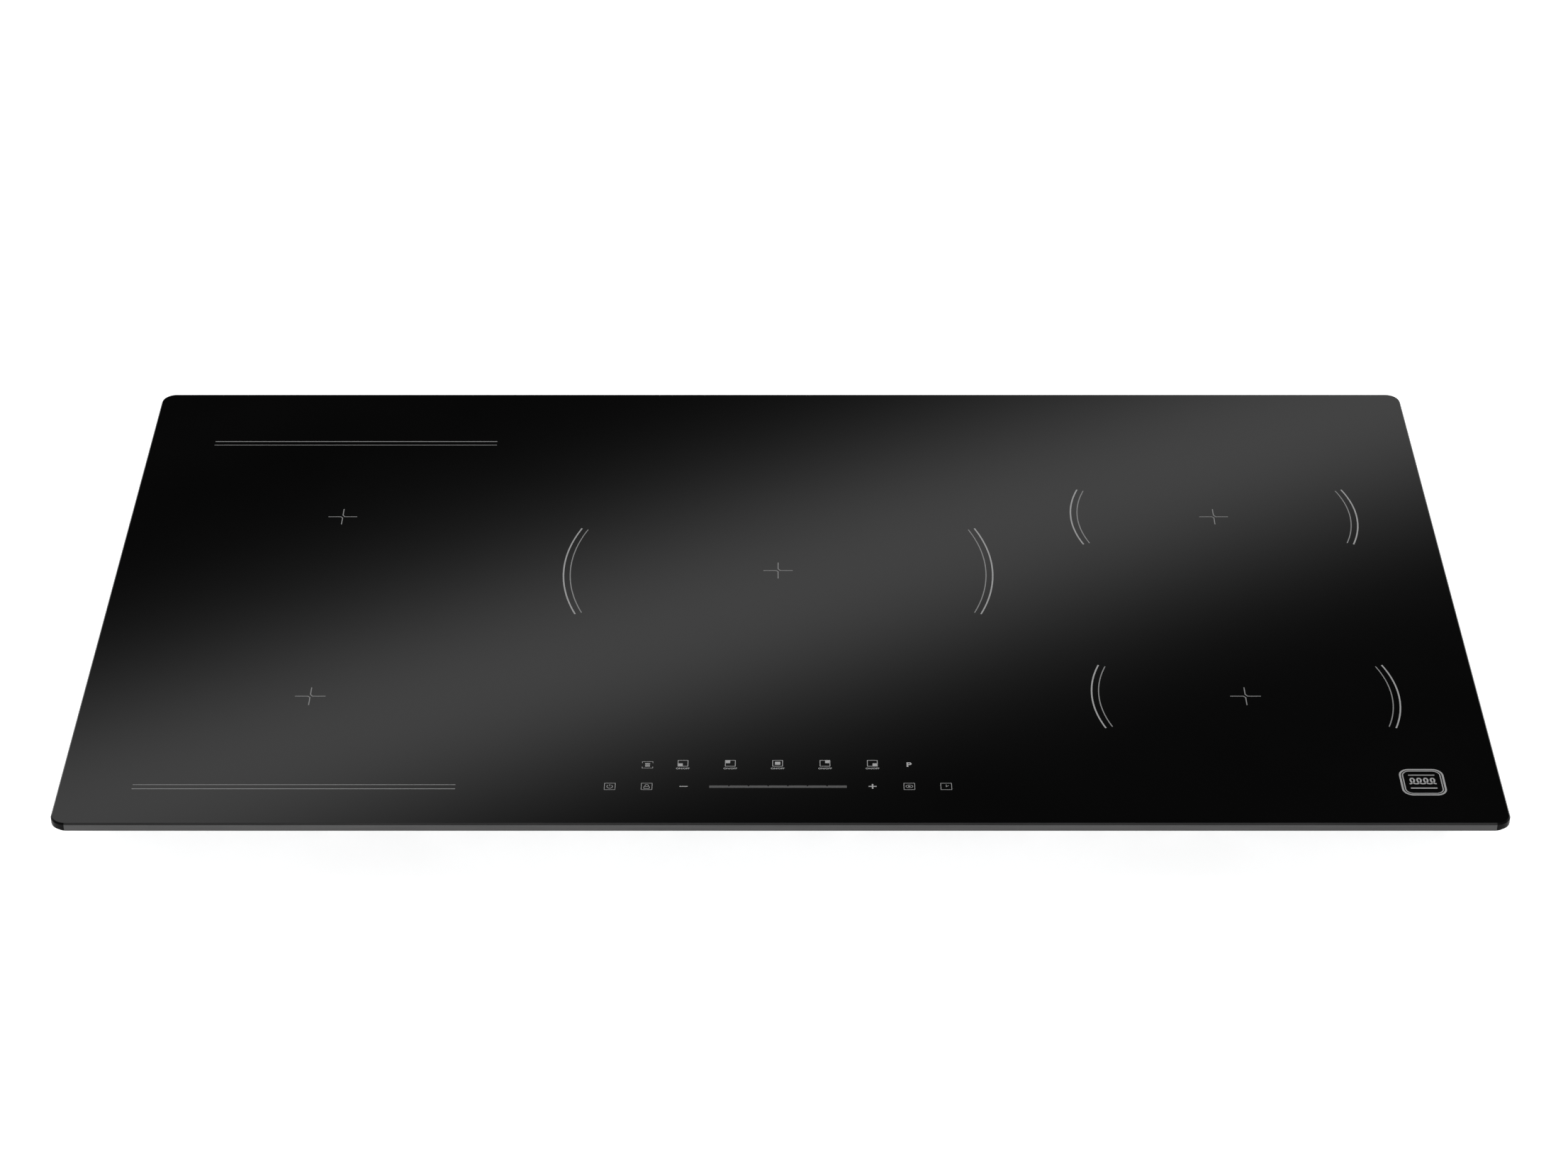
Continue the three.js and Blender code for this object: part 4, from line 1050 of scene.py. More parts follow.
def threaded_rod(radius, low, high):
    """A screw thread as a helical ripple on a round rod."""
    pitch, depth, sides, per_turn = 0.8, 0.35, 20, 5
    count = int((high - low) / pitch * per_turn)
    loops = []
    for i in range(count + 1):
        z = low + (high - low) * i / count
        ends = min(1.0, (z - low) / pitch, (high - z) / pitch)
        loop = []
        for k, a in enumerate(turn_angles(sides)):
            phase = (z / pitch - k / sides) % 1.0
            r = radius - depth + abs(2 * phase - 1) * depth * max(ends, 0.0)
            loop.append((r * math.cos(a), r * math.sin(a), z))
        loops.append(loop)
    return loft(loops)


# ------------------------------------------------------------------ seal and sheet-metal pan

def glass_seal():
    """The foam strip under the rim of the glass, a little rounded where the worktop presses it."""
    low, high = box_mm("glass_seal")
    outline = rim_outline(low, high, GLASS_CORNER - 1.6, 16)
    width, soft = 9.0, 0.5
    section = [
        (soft, low.z), (0.1, low.z + soft), (0, low.z + 1), (0.1, high.z - soft), (soft, high.z),
        (width - soft, high.z), (width, high.z - soft), (width, low.z + soft), (width - soft, low.z),
    ]
    shape = stacked(outline, section, closed=True)
    build("glass_seal_strip", shape, "rubber", "glass_seal", smooth=60)


SHEET = 1.0
PAN_CORNER = 8.0
PAN_FOOT_Y = -195.0
PAN_RIM_Z = 34.0
PAN_BEND = 2.5
PAN_SIDE_X = PAN_HIGH.x
PAN_FRONT_Y = PAN_LOW.y
PAN_REAR_Y = box_mm("glass_frame")[1].y + 1.3
PAN_TOP_Z = PAN_HIGH.z
SLOT_COUNT = 7
SLOT_WIDTH = 4.0
SLOT_PITCH = 12.0
REAR_SLOTS_X = (-250, 0, 190)
REAR_SLOTS_Z = (12, 32)
FRONT_SLOTS_X = (-250, 250)
FRONT_SLOTS_YZ = (-222, 20)


def pan_outline(z, inset):
    """The pan's outline at a height; its front wall slants back below the rim."""
    drop = max(0.0, 1 - z / PAN_RIM_Z)
    slanted = math.hypot(PAN_RIM_Z, PAN_FOOT_Y - PAN_FRONT_Y) / PAN_RIM_Z
    widen = slanted if z < PAN_RIM_Z - 1 else 1.0
    front = PAN_FRONT_Y + (PAN_FOOT_Y - PAN_FRONT_Y) * drop + inset * widen
    rear = PAN_REAR_Y - inset
    return rounded_rectangle(
        2 * (PAN_SIDE_X - inset), rear - front, PAN_CORNER - inset, 8, 0, (rear + front) / 2
    )


def pan_sheet():
    """The drawn steel shell with its bend along the floor and its cut edge at the top."""
    inner = PAN_BEND - SHEET
    rim, top = PAN_RIM_Z, PAN_TOP_Z
    levels = [(PAN_BEND * (1 - math.cos(a)), PAN_BEND * (1 - math.sin(a))) for a in quarter(4)]
    levels += [(rim - 1.2, 0), (rim, 0), (rim + 1.2, 0)]
    levels += [(top - 0.2, 0), (top, 0.2), (top, SHEET - 0.2), (top - 0.2, SHEET)]
    levels += [(rim + 1.2, SHEET), (rim, SHEET), (rim - 1.2, SHEET)]
    for a in quarter(4)[::-1]:
        levels.append((SHEET + inner * (1 - math.cos(a)), SHEET + inner * (1 - math.sin(a))))
    return loft([level(pan_outline(z, inset), z) for z, inset in levels])


POCKET_INNER_X = 398.0
POCKET_HEIGHT = 14.0
POCKET_START = -12.0
POCKET_END = 46.0
CLAMPS = ("rear_left", "rear_right", "front_left", "front_right")


def clamp_place(place):
    """The clamp's screw axis, the side it is on and the way that its arm is stowed."""
    x, y = middle_mm(f"clamp_screw_{place}").xy
    return x, y, (1 if x > 0 else -1), (-1 if place.startswith("rear") else 1)


def pocket_block(place, grow, outer_x, low, high):
    """The hollow of a clamp's pocket, or the outside of its sheet when it is let grow."""
    _, y, side, stow = clamp_place(place)
    inner = POCKET_INNER_X - grow
    from_y, to_y = y + stow * (POCKET_START - grow), y + stow * (POCKET_END + grow)
    middle = (inner + outer_x) / 2 * side
    outline = shrinking(outer_x - inner, abs(to_y - from_y), 3 + grow)
    return soft_plate(outline, low, high, 1.5).at(middle, (from_y + to_y) / 2)


def wall_slot(x, low, high, y, width=SLOT_WIDTH):
    """A slot with round ends through a wall that faces along Y."""
    outline = rounded_rectangle(width, high - low, width / 2 - 0.01, 5)
    return upright_plate(outline, -4, 4).at(x, y, (low + high) / 2)


def slot_row(pitch=SLOT_PITCH):
    return [(i - (SLOT_COUNT - 1) / 2) * pitch for i in range(SLOT_COUNT)]


def blower_middle(place):
    return middle_mm(f"blower_impeller_{place}").xy


INLET_RADIUS = 24.0


def floor_grille(place):
    """Parallel slots under the inlet of a blower, each a chord of its circle."""
    x, y = blower_middle(place)
    slots = []
    for offset in slot_row(6):
        reach = math.sqrt(INLET_RADIUS ** 2 - offset ** 2)
        outline = rounded_rectangle(SLOT_WIDTH, 2 * reach, SLOT_WIDTH / 2 - 0.01, 5, x + offset, y)
        slots.append(plate(outline, -2, 1.25))
    return slots


def slanted_slots(x):
    """Slots through the slanted front wall, along its slope."""
    slope = math.atan2(PAN_RIM_Z, PAN_FRONT_Y - PAN_FOOT_Y)
    outline = rounded_rectangle(SLOT_WIDTH, 24.9, SLOT_WIDTH / 2 - 0.01, 5)
    slot = plate(outline, -4, 4).turned(slope, "X")
    return [slot.at(x + offset, *FRONT_SLOTS_YZ) for offset in slot_row()]


def bead(x, y, length, along_x):
    """A stiffening bead pressed up into the floor: its ridge above and its groove below."""
    width = 9.0
    size = (length, width) if along_x else (width, length)
    outline = shrinking(*size, width / 2, 6, x, y)
    ridge = stacked(outline, [(0, 0.5), (0, 1.0), (0.7, 1.45), (1.6, 1.7)])
    groove = stacked(outline, [(1.0, -1), (1.0, 0.05), (1.6, 0.5), (2.4, 0.7)])
    return ridge, groove


# Each bead by the middle of its plan, its length, and whether it runs along X.
BEADS = [
    (0, 25, 190, False), (35, 25, 190, False), (70, 25, 190, False),
    (335, 20, 190, False), (365, 20, 190, False), (-40, -150, 270, True),
    (-330, 0, 150, False), (-250, 0, 150, False), (170, 0, 150, False), (250, 0, 150, False),
    (-115, 105, 100, False), (-412, 50, 150, False), (412, 50, 150, False),
]


TERMINAL_X = middle_mm("terminal_block").x
HINGE_Y = 243.6
HINGE_Z = 38.0
GLAND_X, _, GLAND_Z = middle_mm("cable_gland")
GLAND_HOLE = 8.0
TERMINAL_WINDOW = (50, 24)
TERMINAL_WINDOW_Z = 20
CLAMP_HOLE = 2.8


def pan_openings():
    """Air slots in the walls and the floor, the cable's hole and the terminals' window."""
    wall_y = PAN_REAR_Y - SHEET / 2
    cuts = floor_grille("left") + floor_grille("right")
    for x in REAR_SLOTS_X:
        cuts += [wall_slot(x + offset, *REAR_SLOTS_Z, wall_y) for offset in slot_row()]
    for x in FRONT_SLOTS_X:
        cuts += slanted_slots(x)
    cuts.append(wall_slot(GLAND_X, GLAND_Z - GLAND_HOLE, GLAND_Z + GLAND_HOLE, wall_y, 2 * GLAND_HOLE))
    window = upright_plate(rounded_rectangle(*TERMINAL_WINDOW, 2, 4), -4, 4)
    cuts.append(window.at(TERMINAL_X, PAN_REAR_Y, TERMINAL_WINDOW_Z))
    return cuts


def base_pan():
    """The pressed sheet with its clamp pockets and beads, and all that is cut from it."""
    roof = POCKET_HEIGHT + SHEET
    outer_blocks = [pocket_block(p, SHEET, PAN_SIDE_X - 0.5, 0.5, roof) for p in CLAMPS]
    inner_blocks = [pocket_block(p, 0, PAN_SIDE_X + 6, -4, POCKET_HEIGHT) for p in CLAMPS]
    beads = [bead(*place) for place in BEADS]
    shape = carved(pan_sheet(), outer_blocks, "UNION")
    shape = carved(shape, [ridge for ridge, _ in beads], "UNION")
    shape = carved(shape, inner_blocks + [groove for _, groove in beads] + pan_openings())
    drill = rod(CLAMP_HOLE, POCKET_HEIGHT - 2, roof + 3, 28)
    shape = carved(shape, [drill.at(*clamp_place(place)[:2]) for place in CLAMPS])
    build("pan_shell", shape, "galvanised", "base_pan", smooth=32)


def clamp_nuts():
    """Hexagon nuts pressed into the roofs of the clamp pockets."""
    low, high, across = POCKET_HEIGHT + SHEET, POCKET_HEIGHT + SHEET + 4, 5.0
    section = [(0.4, low), (0, low + 0.3), (0, high - 0.4), (0.6, high)]
    nut = stacked(lambda inset: circle(across - inset, 6), section)
    nut = carved(nut, [rod(2.75, low - 1, high + 1, 28)])
    shapes = [nut.at(*clamp_place(place)[:2]) for place in CLAMPS]
    build("clamp_nuts", joined(shapes), "screw", smooth=25)


BOARD_BOSS_INSET = 6.0


def board_corners(node):
    """Where the four screws of a board are."""
    low, high = box_mm(node)
    inset = BOARD_BOSS_INSET
    return [(x, y) for x in (low.x + inset, high.x - inset) for y in (low.y + inset, high.y - inset)]


BOARDS = ("inverter_board_left", "inverter_board_right", "filter_board")


def board_bosses():
    """Plastic stand-offs clipped into the floor under each board, and the boards' screws."""
    profile = [(0, 0.9), (4.6, 0.9), (4.6, 1.4), (3.5, 2.1), (3.2, 6.2), (2.9, 6.7), (0, 6.7)]
    boss = lathe(profile, 24)
    screw = dome_screw(3.0, 1.7)
    spots = [spot for board in BOARDS for spot in board_corners(board)]
    build("board_standoffs", joined([boss.at(x, y) for x, y in spots]), "white_plastic")
    build("board_screws", joined([screw.at(x, y, BOARD_TOP_Z) for x, y in spots]), "screw")


CASE_SCREW_Z = 42.6
SIDE_SCREWS_Y = (-185, -60, 60, 185)
FRONT_SCREWS_X = (-370, -185, 0, 185, 370)
REAR_SCREWS_X = (-370, -185, 0, 185, 310)


def case_screws():
    """The screws that hold the pan to the frame under the glass."""
    spots = [(way, side * PAN_SIDE_X, y) for y in SIDE_SCREWS_Y for way, side in (("+X", 1), ("-X", -1))]
    spots += [("-Y", x, PAN_FRONT_Y) for x in FRONT_SCREWS_X]
    spots += [("+Y", x, PAN_REAR_Y) for x in REAR_SCREWS_X]
    screw = dome_screw(3.1, 1.8)
    shapes = [facing(screw, way).at(x, y, CASE_SCREW_Z) for way, x, y in spots]
    build("case_screws", joined(shapes), "screw")


def hinge_lugs():
    """Two ears on the rear wall that hold the pin of the terminal cover."""
    reach, thickness, radius = 26.3, 4.0, 2.6
    root = PAN_REAR_Y - 0.4 - HINGE_Y
    profile = [(root, -radius), *arc(radius, -90, 90, 10), (root, radius)]
    ear = carved(plate(profile, 0, thickness), [rod(1.35, -1, thickness + 1)])
    upright = Matrix(((0, 0, 1, 0), (1, 0, 0, 0), (0, 1, 0, 0), (0, 0, 0, 1)))
    places = (TERMINAL_X + reach, TERMINAL_X - reach - thickness)
    shapes = [ear.by(upright).at(x, HINGE_Y, HINGE_Z) for x in places]
    build("cover_hinge_ears", joined(shapes), "galvanised", bevel=0.25)


# ------------------------------------------------------------------ worktop clamps

ARM_HALF = 7.0
ARM_LENGTH = 42.0
ARM_SHEET = 2.0
ARM_TEETH = 5


def arm_outline(inset):
    """A strap with a round eye for its screw and small corners at its tip."""
    across, along = ARM_HALF - 2.2 - inset, ARM_LENGTH - 2.2 - inset
    return (
        arc(ARM_HALF - inset, 180, 360, 20)
        + arc(2.2, 0, 90, 4, across, along)
        + arc(2.2, 90, 180, 4, -across, along)
    )


def arm_teeth(top):
    """The pointed teeth of the lip that bites the worktop."""
    half = ARM_HALF - 0.6
    pitch = (2 * ARM_HALF - 1.2) / ARM_TEETH
    teeth = []
    for i in range(ARM_TEETH):
        left = -half + i * pitch
        right = left + pitch
        tooth = [(left, top + 0.2), (right, top + 0.2), ((left + right) / 2, top + 1)]
        teeth.append(upright_plate(tooth, -ARM_LENGTH + 0.5, -ARM_LENGTH + 3.6))
    return teeth


def clamp_arm(place):
    """A stamped arm with a pressed rib and a toothed lip that bites the worktop."""
    node = f"clamp_bracket_{place}"
    base = box_mm(node)[0].z
    top = base + ARM_SHEET
    x, y, _, stow = clamp_place(place)
    arm = soft_plate(arm_outline, base, top, 0.35)
    rib = soft_plate(shrinking(4, 24, 2, 5, 0, 22), base + 1, top + 0.6, 0.5)
    half = ARM_HALF - 0.6
    lip = cuboid((-half, half), (ARM_LENGTH - 4, ARM_LENGTH - 0.4), (base + 1, top + 0.4))
    shape = carved(carved(arm, [rib], "UNION"), [lip], "UNION")
    shape = carved(shape, [rod(CLAMP_HOLE, base - 2, base + 5, 32)])
    shape = joined([shape] + arm_teeth(top))
    if stow < 0:
        shape = shape.turned(TURN / 2)
    build(f"clamp_arm_{place}", shape.at(x, y), "galvanised", node, node, smooth=30)


def clamp_bolt(place):
    """The clamp's long screw: a cross head below and a thread up through the nut."""
    node = f"clamp_screw_{place}"
    low, high = box_mm(node)
    x, y, _, _ = clamp_place(place)
    head = 2.7
    washer = lathe([(0, -0.05), (4.9, -0.05), (4.95, 0.1), (0, 0.1)], 28)
    shape = joined([
        facing(joined([dome_screw(4.95, head), washer]), "-Z").at(0, 0, low.z + head),
        threaded_rod(2.4, low.z + head - 0.2, high.z - 0.6),
        lathe([(0, high.z - 1.2), (2.0, high.z - 1.2), (1.5, high.z), (0, high.z)], 20),
    ])
    build(f"clamp_bolt_{place}", shape.at(x, y), "screw", node, node)


# ------------------------------------------------------------------ mains connection

COVER_THICKNESS = 2.5
COVER_HALF = 26.0
COVER_KNUCKLES = 3


def cover_panel(base):
    """The flap laid flat: a soft panel with ribs, a finger grip and a web up to its hinge."""
    width, top, face = 60.0, 33.5, COVER_THICKNESS
    panel = soft_plate(shrinking(width, top - base, 2.5, 5), 0, face, 0.5)
    rib = soft_plate(shrinking(46, 1.6, 0.7), face - 0.4, face + 0.5, 0.3)
    grip = soft_plate(shrinking(18, 2.6, 1.2), face - 0.5, face + 0.75, 0.4)
    shapes = [panel.at(0, (top + base) / 2)]
    shapes += [rib.at(0, base + 6.5 + i * 4) for i in range(5)]
    shapes.append(grip.at(0, base + 2.6))
    half = COVER_HALF - 0.4
    shapes.append(cuboid((-half, half), (top - 1.5, HINGE_Z), (0.15, face - 0.5)))
    return joined(shapes)


def cover_knuckles():
    gap, pitch = 0.5, 2 * COVER_HALF / COVER_KNUCKLES
    end = pitch - gap
    profile = [(1.9, 0), (2.2, 0.3), (2.2, end - 0.3), (1.9, end), (0.9, end), (0.9, 0)]
    knuckle = ring(profile, 24).turned(TURN / 4, "Y")
    starts = [-COVER_HALF + i * pitch + gap / 2 for i in range(COVER_KNUCKLES)]
    return [knuckle.at(start, HINGE_Y, HINGE_Z) for start in starts]


def terminal_cover():
    """A moulded flap with hinge knuckles along its upper edge, and the pin through them."""
    upright = Matrix(((1, 0, 0, 0), (0, 0, 1, 0), (0, 1, 0, 0), (0, 0, 0, 1)))
    flap = cover_panel(box_mm("terminal_cover")[0].z).by(upright).at(0, PAN_REAR_Y + 1.5, 0)
    shape = joined([flap] + cover_knuckles()).at(TERMINAL_X)
    build("terminal_flap", shape, "black_plastic", "terminal_cover", "terminal_cover")
    pin = lathe([(0, -29), (0.8, -29), (1, -28.7), (1, 28.7), (0.8, 29), (0, 29)], 20)
    pin = pin.turned(TURN / 4, "Y").at(TERMINAL_X, HINGE_Y, HINGE_Z)
    build("terminal_flap_pin", pin, "screw", body="terminal_cover")


def fluted_ring(radius, depth, flutes, count, low, high, bore):
    """A ring whose outside is fluted for the fingers or a tool."""
    def loop(r, z, cut):
        radii = [r - max(0.0, math.cos(flutes * a)) * cut for a in turn_angles(count)]
        return [(r * math.cos(a), r * math.sin(a), z) for r, a in zip(radii, turn_angles(count))]

    loops = [
        loop(radius - 0.4, low, depth), loop(radius, low + 0.4, depth), loop(radius, high - 0.5, depth),
        loop(radius - 0.6, high, depth), loop(bore, high, 0), loop(bore, low, 0),
    ]
    return loft(loops, closed=True)


def cable_gland():
    """A bush through the rear wall: an inner nut, an outer flange, and a dome nut on a rubber ring."""
    low, high = box_mm("cable_gland")
    bore, neck, collar = 6.1, 7.7, 10.5
    inner_face, outer_face = PAN_REAR_Y - SHEET - 0.3, PAN_REAR_Y + 0.3
    section = [(0.5, low.y), (0, low.y + 0.4), (0, inner_face)]
    inner_nut = stacked(lambda inset: circle(collar - inset, 6), section)
    inner_nut = carved(inner_nut, [rod(bore, low.y - 1, inner_face + 1, 36)])
    body = ring([
        (bore, inner_face - 0.5), (neck, inner_face - 0.5), (neck, outer_face), (collar - 0.3, outer_face),
        (collar, outer_face + 0.3), (collar, outer_face + 3.6), (collar - 0.5, outer_face + 4),
        (bore, outer_face + 4),
    ])
    dome = fluted_ring(9.6, 0.5, 12, 96, outer_face + 4.3, outer_face + 9.2, bore)
    crown = ring([
        (bore, outer_face + 9.3), (9.0, outer_face + 9.3), (8.2, outer_face + 10.9), (7.0, high.y - 0.1),
        (bore + 0.2, high.y - 0.3),
    ])
    plastic = facing(joined([inner_nut, body, dome, crown]), "+Y").at(GLAND_X, 0, GLAND_Z)
    build("gland_body", plastic, "black_plastic", "cable_gland")
    start, end = low.y + 0.4, high.y - 0.9
    rubber = ring([(5.5, start), (6.0, start), (6.0, end), (5.5, end + 0.3)], 36)
    build("gland_rubber", facing(rubber, "+Y").at(GLAND_X, 0, GLAND_Z), "rubber")


def terminal_block():
    """Five clamping poles in one moulding, parted by grooves, with a screw in every well."""
    low, high = box_mm("terminal_block")
    width, depth = high.x - low.x, high.y - low.y
    middle_x, middle_y = (low.x + high.x) / 2, (low.y + high.y) / 2
    pitch, top = width / 5, high.z
    cuts = []
    xs = [(i - 2) * pitch for i in range(5)]
    for x in xs:
        cuts.append(plate(circle(3.4, 24, x, -5), top - 6, top + 1))
        cuts.append(cuboid((x - 3, x + 3), (5, depth), (top - 9, top - 3)))
        cuts.append(cuboid((x - 3, x + 3), (-depth, -9.5), (top - 15, top - 9)))
    for x in [(i - 1.5) * pitch for i in range(4)]:
        cuts.append(cuboid((x - 0.5, x + 0.5), (-depth, depth), (top - 3.5, top + 1)))
    shape = carved(block(width, depth, low.z, top, 0.5, 1.2), cuts).at(middle_x, middle_y)
    build("terminal_moulding", shape, "terminal_plastic", "terminal_block", smooth=30)
    screw = dome_screw(2.9, 1.6)
    screws = [screw.at(middle_x + x, middle_y - 5, top - 5.9) for x in xs]
    build("terminal_screws", joined(screws), "screw")


# ------------------------------------------------------------------ blowers

BLOWER_BASE_Z, BLOWER_TOP_Z = (corner.z for corner in box_mm("blower_housing_left"))
SCROLL_START = math.radians(-80)
SCROLL_SWEEP = math.radians(280)
SCROLL_RADII = (37.0, 47.0)
OUTLET_Y = -50.0
HOUSING_WALL = 1.5


def scroll_outline(inset, outlet_y, steps=64):
    """The widening snail of a blower seen from above, with its outlet towards the front."""
    start_radius, end_radius = SCROLL_RADII
    outlet_x = start_radius * math.cos(SCROLL_START) + inset
    points = [(outlet_x, outlet_y), (end_radius - inset, outlet_y)]
    for i in range(steps, -1, -1):
        share = i / steps
        radius = start_radius + share * (end_radius - start_radius) - inset
        angle = SCROLL_START - share * SCROLL_SWEEP
        points.append((radius * math.cos(angle), radius * math.sin(angle)))
    return points


def blower_housing(place):
    """A hollow scroll with a bell mouth, an open outlet and the motor's hub on three spokes."""
    node = f"blower_housing_{place}"
    x, y = blower_middle(place)
    base, top = BLOWER_BASE_Z, BLOWER_TOP_Z
    shell = soft_plate(lambda inset: scroll_outline(inset, OUTLET_Y + inset), base, top, 1.2)
    hollow = plate(scroll_outline(HOUSING_WALL, OUTLET_Y - 3), base + HOUSING_WALL, top - HOUSING_WALL)
    inlet = plate(circle(INLET_RADIUS, 72), base - 1, base + HOUSING_WALL + 1)
    shell = carved(carved(shell, [hollow]), [inlet])
    mouth = INLET_RADIUS
    bell = ring([
        (mouth - 0.1, base + 0.1), (mouth + 1.6, base + 0.05), (mouth + 1.6, base + HOUSING_WALL + 0.2),
        (mouth + 0.4, base + 3.0), (mouth - 0.5, base + 3.0), (mouth - 0.7, base + 1.4),
    ], 72)
    rim = ring([(19, top - 0.2), (22, top - 0.2), (21, top + 0.25), (20, top + 0.25)])
    spokes = [cuboid((9, 20), (-1.2, 1.2), (top - 0.3, top + 0.2)).turned(a) for a in turn_angles(3)]
    hub = soft_plate(lambda i: circle(9.5 - i, 36), top - 0.4, top + 0.25, 0.2)
    spindle = plate(circle(1.5, 20), base + 9, top - HOUSING_WALL / 2)
    shape = joined([shell, bell, rim, hub, spindle] + spokes).at(x, y)
    build(f"blower_scroll_{place}", shape, "black_plastic", node, smooth=32)


IMPELLER_RADIUS = 32.0
BLADE_COUNT = 36


def blower_impeller(place):
    """A drum of forward-curved blades between a shroud ring and a domed back plate."""
    node = f"blower_impeller_{place}"
    x, y = blower_middle(place)
    low, high = BLOWER_BASE_Z + 3.1, BLOWER_BASE_Z + 19.5
    rim = IMPELLER_RADIUS
    inner, outer = rim - 7.5, rim - 0.6
    blade_line = []
    for i in range(7):
        share = i / 6
        radius = inner + (outer - inner) * share
        lean = 0.16 * share ** 1.7 - 0.02
        blade_line.append((radius * math.cos(lean), radius * math.sin(lean)))
    blade = ribbon(blade_line, 0.7, low + 0.5, high - 1.0)
    shroud = [
        (rim - 0.3, low), (rim, low + 0.3), (rim, low + 0.9), (inner + 1.5, low + 0.9), (inner + 1.5, low)
    ]
    back = [
        (2.0, high - 5.5), (8.0, high - 5.3), (15, high - 3.2), (inner, high - 1.6),
        (rim - 0.3, high - 1.5), (rim, high - 1.2), (rim, high - 0.2), (rim - 0.3, high), (2.0, high),
    ]
    hub = [(2.0, high - 5.4), (2.0, low + 4.2), (6.2, low + 4.2), (7.6, low + 5.4), (8.0, high - 5.2)]
    shapes = [blade.turned(a) for a in turn_angles(BLADE_COUNT)]
    shapes += [ring(shroud, 72), ring(back, 72), ring(hub, 40)]
    build(
        f"blower_fan_{place}", joined(shapes).at(x, y), "grey_plastic", node, f"impeller_{place}",
        smooth=30
    )


# ------------------------------------------------------------------ coils

COILS = {
    "left": ("rear_left", "front_left"),
    "center": ("center",),
    "right": ("rear_right", "front_right"),
}
SQUARE_COILS = COILS["left"]


def coil_body(place):
    carrier = next(name for name, places in COILS.items() if place in places)
    return f"coil_carrier_{carrier}"


def square_point(share, half, radius):
    """A point a share of the way round a rounded square, from the first of its corner arcs."""
    outline = rounded_rectangle(2 * half, 2 * half, radius, 10)
    sides = list(zip(outline, outline[1:] + outline[:1]))
    lengths = [math.hypot(end[0] - start[0], end[1] - start[1]) for start, end in sides]
    wanted = (share % 1.0) * sum(lengths)
    for (start, end), length in zip(sides, lengths):
        if wanted <= length:
            part = wanted / length if length else 0
            return start[0] + (end[0] - start[0]) * part, start[1] + (end[1] - start[1]) * part
        wanted -= length
    return outline[0]


WIRE_SIDES = 10


def softly_square(angle, power):
    """The cosine and the sine of an angle, drawn out towards a square."""
    pair = (math.cos(angle), math.sin(angle))
    return [math.copysign(abs(value) ** power, value) for value in pair]


def winding_path(place, inner, outer, turns, wire):
    """The line of a flat spiral, round or following a rounded square."""
    square = place in SQUARE_COILS
    steps = 88 if square else 80
    points = []
    for i in range(int(turns * steps) + 1):
        turn = i / steps
        reach = inner + wire / 2 + (outer - inner - wire) * turn / turns
        if square:
            corner = 20 + (36 - 20) * turn / turns
            points.append(square_point(turn, reach, corner))
        else:
            points.append((reach * math.cos(TURN * turn), reach * math.sin(TURN * turn)))
    return points


def wire_along(points, width, low, high):
    """Litz wire with a softly squared section along a flat line, and its length at each point."""
    loops, lengths, travelled = [], [], 0.0
    for i, (x, y) in enumerate(points):
        ahead = points[min(i + 1, len(points) - 1)]
        behind = points[max(i - 1, 0)]
        dx, dy = unit(ahead[0] - behind[0], ahead[1] - behind[1])
        travelled += math.hypot(x - behind[0], y - behind[1]) if i else 0
        lengths.append(travelled)
        loop = []
        for k in range(WIRE_SIDES):
            across, rise = softly_square(TURN * (k + 0.5) / WIRE_SIDES, 0.75)
            across *= width / 2
            z = (low + high) / 2 + rise * (high - low) / 2
            loop.append((x - dy * across, y + dx * across, z))
        loops.append(loop)
    return loft(loops), lengths


def mark_strands(obj, lengths):
    """A map of the wire for its finish: metres along it, and turns round it."""
    layer = obj.data.uv_layers.new(name=LITZ_MAP)
    for polygon in obj.data.polygons:
        band, side = divmod(polygon.index, WIRE_SIDES)
        if band + 1 >= len(lengths):
            continue
        along = (lengths[band], lengths[band], lengths[band + 1], lengths[band + 1])
        across = (side, side + 1, side + 1, side)
        for corner, u, v in zip(polygon.loop_indices, along, across):
            layer.data[corner].uv = (u * MM, v / WIRE_SIDES)


def coil_winding(place):
    """The flat spiral of litz wire, with the map that its strands follow."""
    node = f"coil_winding_{place}"
    low, high, x, y = place_mm(node)
    outer = (high.x - low.x) / 2
    inner = 28.0 if place in SQUARE_COILS else 25.0
    wire = 4.6
    turns = round((outer - inner) / (wire + 0.15))
    points = winding_path(place, inner, outer, turns, wire)
    shape, lengths = wire_along(points, wire, low.z, high.z - 0.3)
    obj = build(f"litz_spiral_{place}", shape.at(x, y), "litz", node, coil_body(place), smooth=60)
    mark_strands(obj, lengths)


FERRITE_BARS = 8


def ferrite_bars(place):
    """Eight loose ferrite sticks in a star, held by a moulded ring round the probe."""
    node = f"ferrite_star_{place}"
    low, high, x, y = place_mm(node)
    reach, start = (high.x - low.x) / 2, 19
    height = high.z - low.z
    stick = block(reach - start, 7.0, low.z, low.z + height, 0.5, 0.9).at((reach + start) / 2, 0)
    sticks = [stick.turned(a) for a in turn_angles(FERRITE_BARS)]
    build(f"ferrite_sticks_{place}", joined(sticks).at(x, y), "ferrite", node, coil_body(place))
    middle = ring([
        (12.2, low.z), (17.7, low.z), (18.3, low.z + 0.6), (18.3, high.z - 0.6), (17.7, high.z),
        (12.2, high.z),
    ])
    clip = block(5, 9.4, low.z + 0.2, high.z - 0.2, 0.4).at(20.4, 0)
    clips = [carved(clip.turned(a), [stick.turned(a)]) for a in turn_angles(FERRITE_BARS)]
    shape = joined([middle] + clips).at(x, y)
    build(f"ferrite_clip_ring_{place}", shape, "white_plastic", body=coil_body(place))


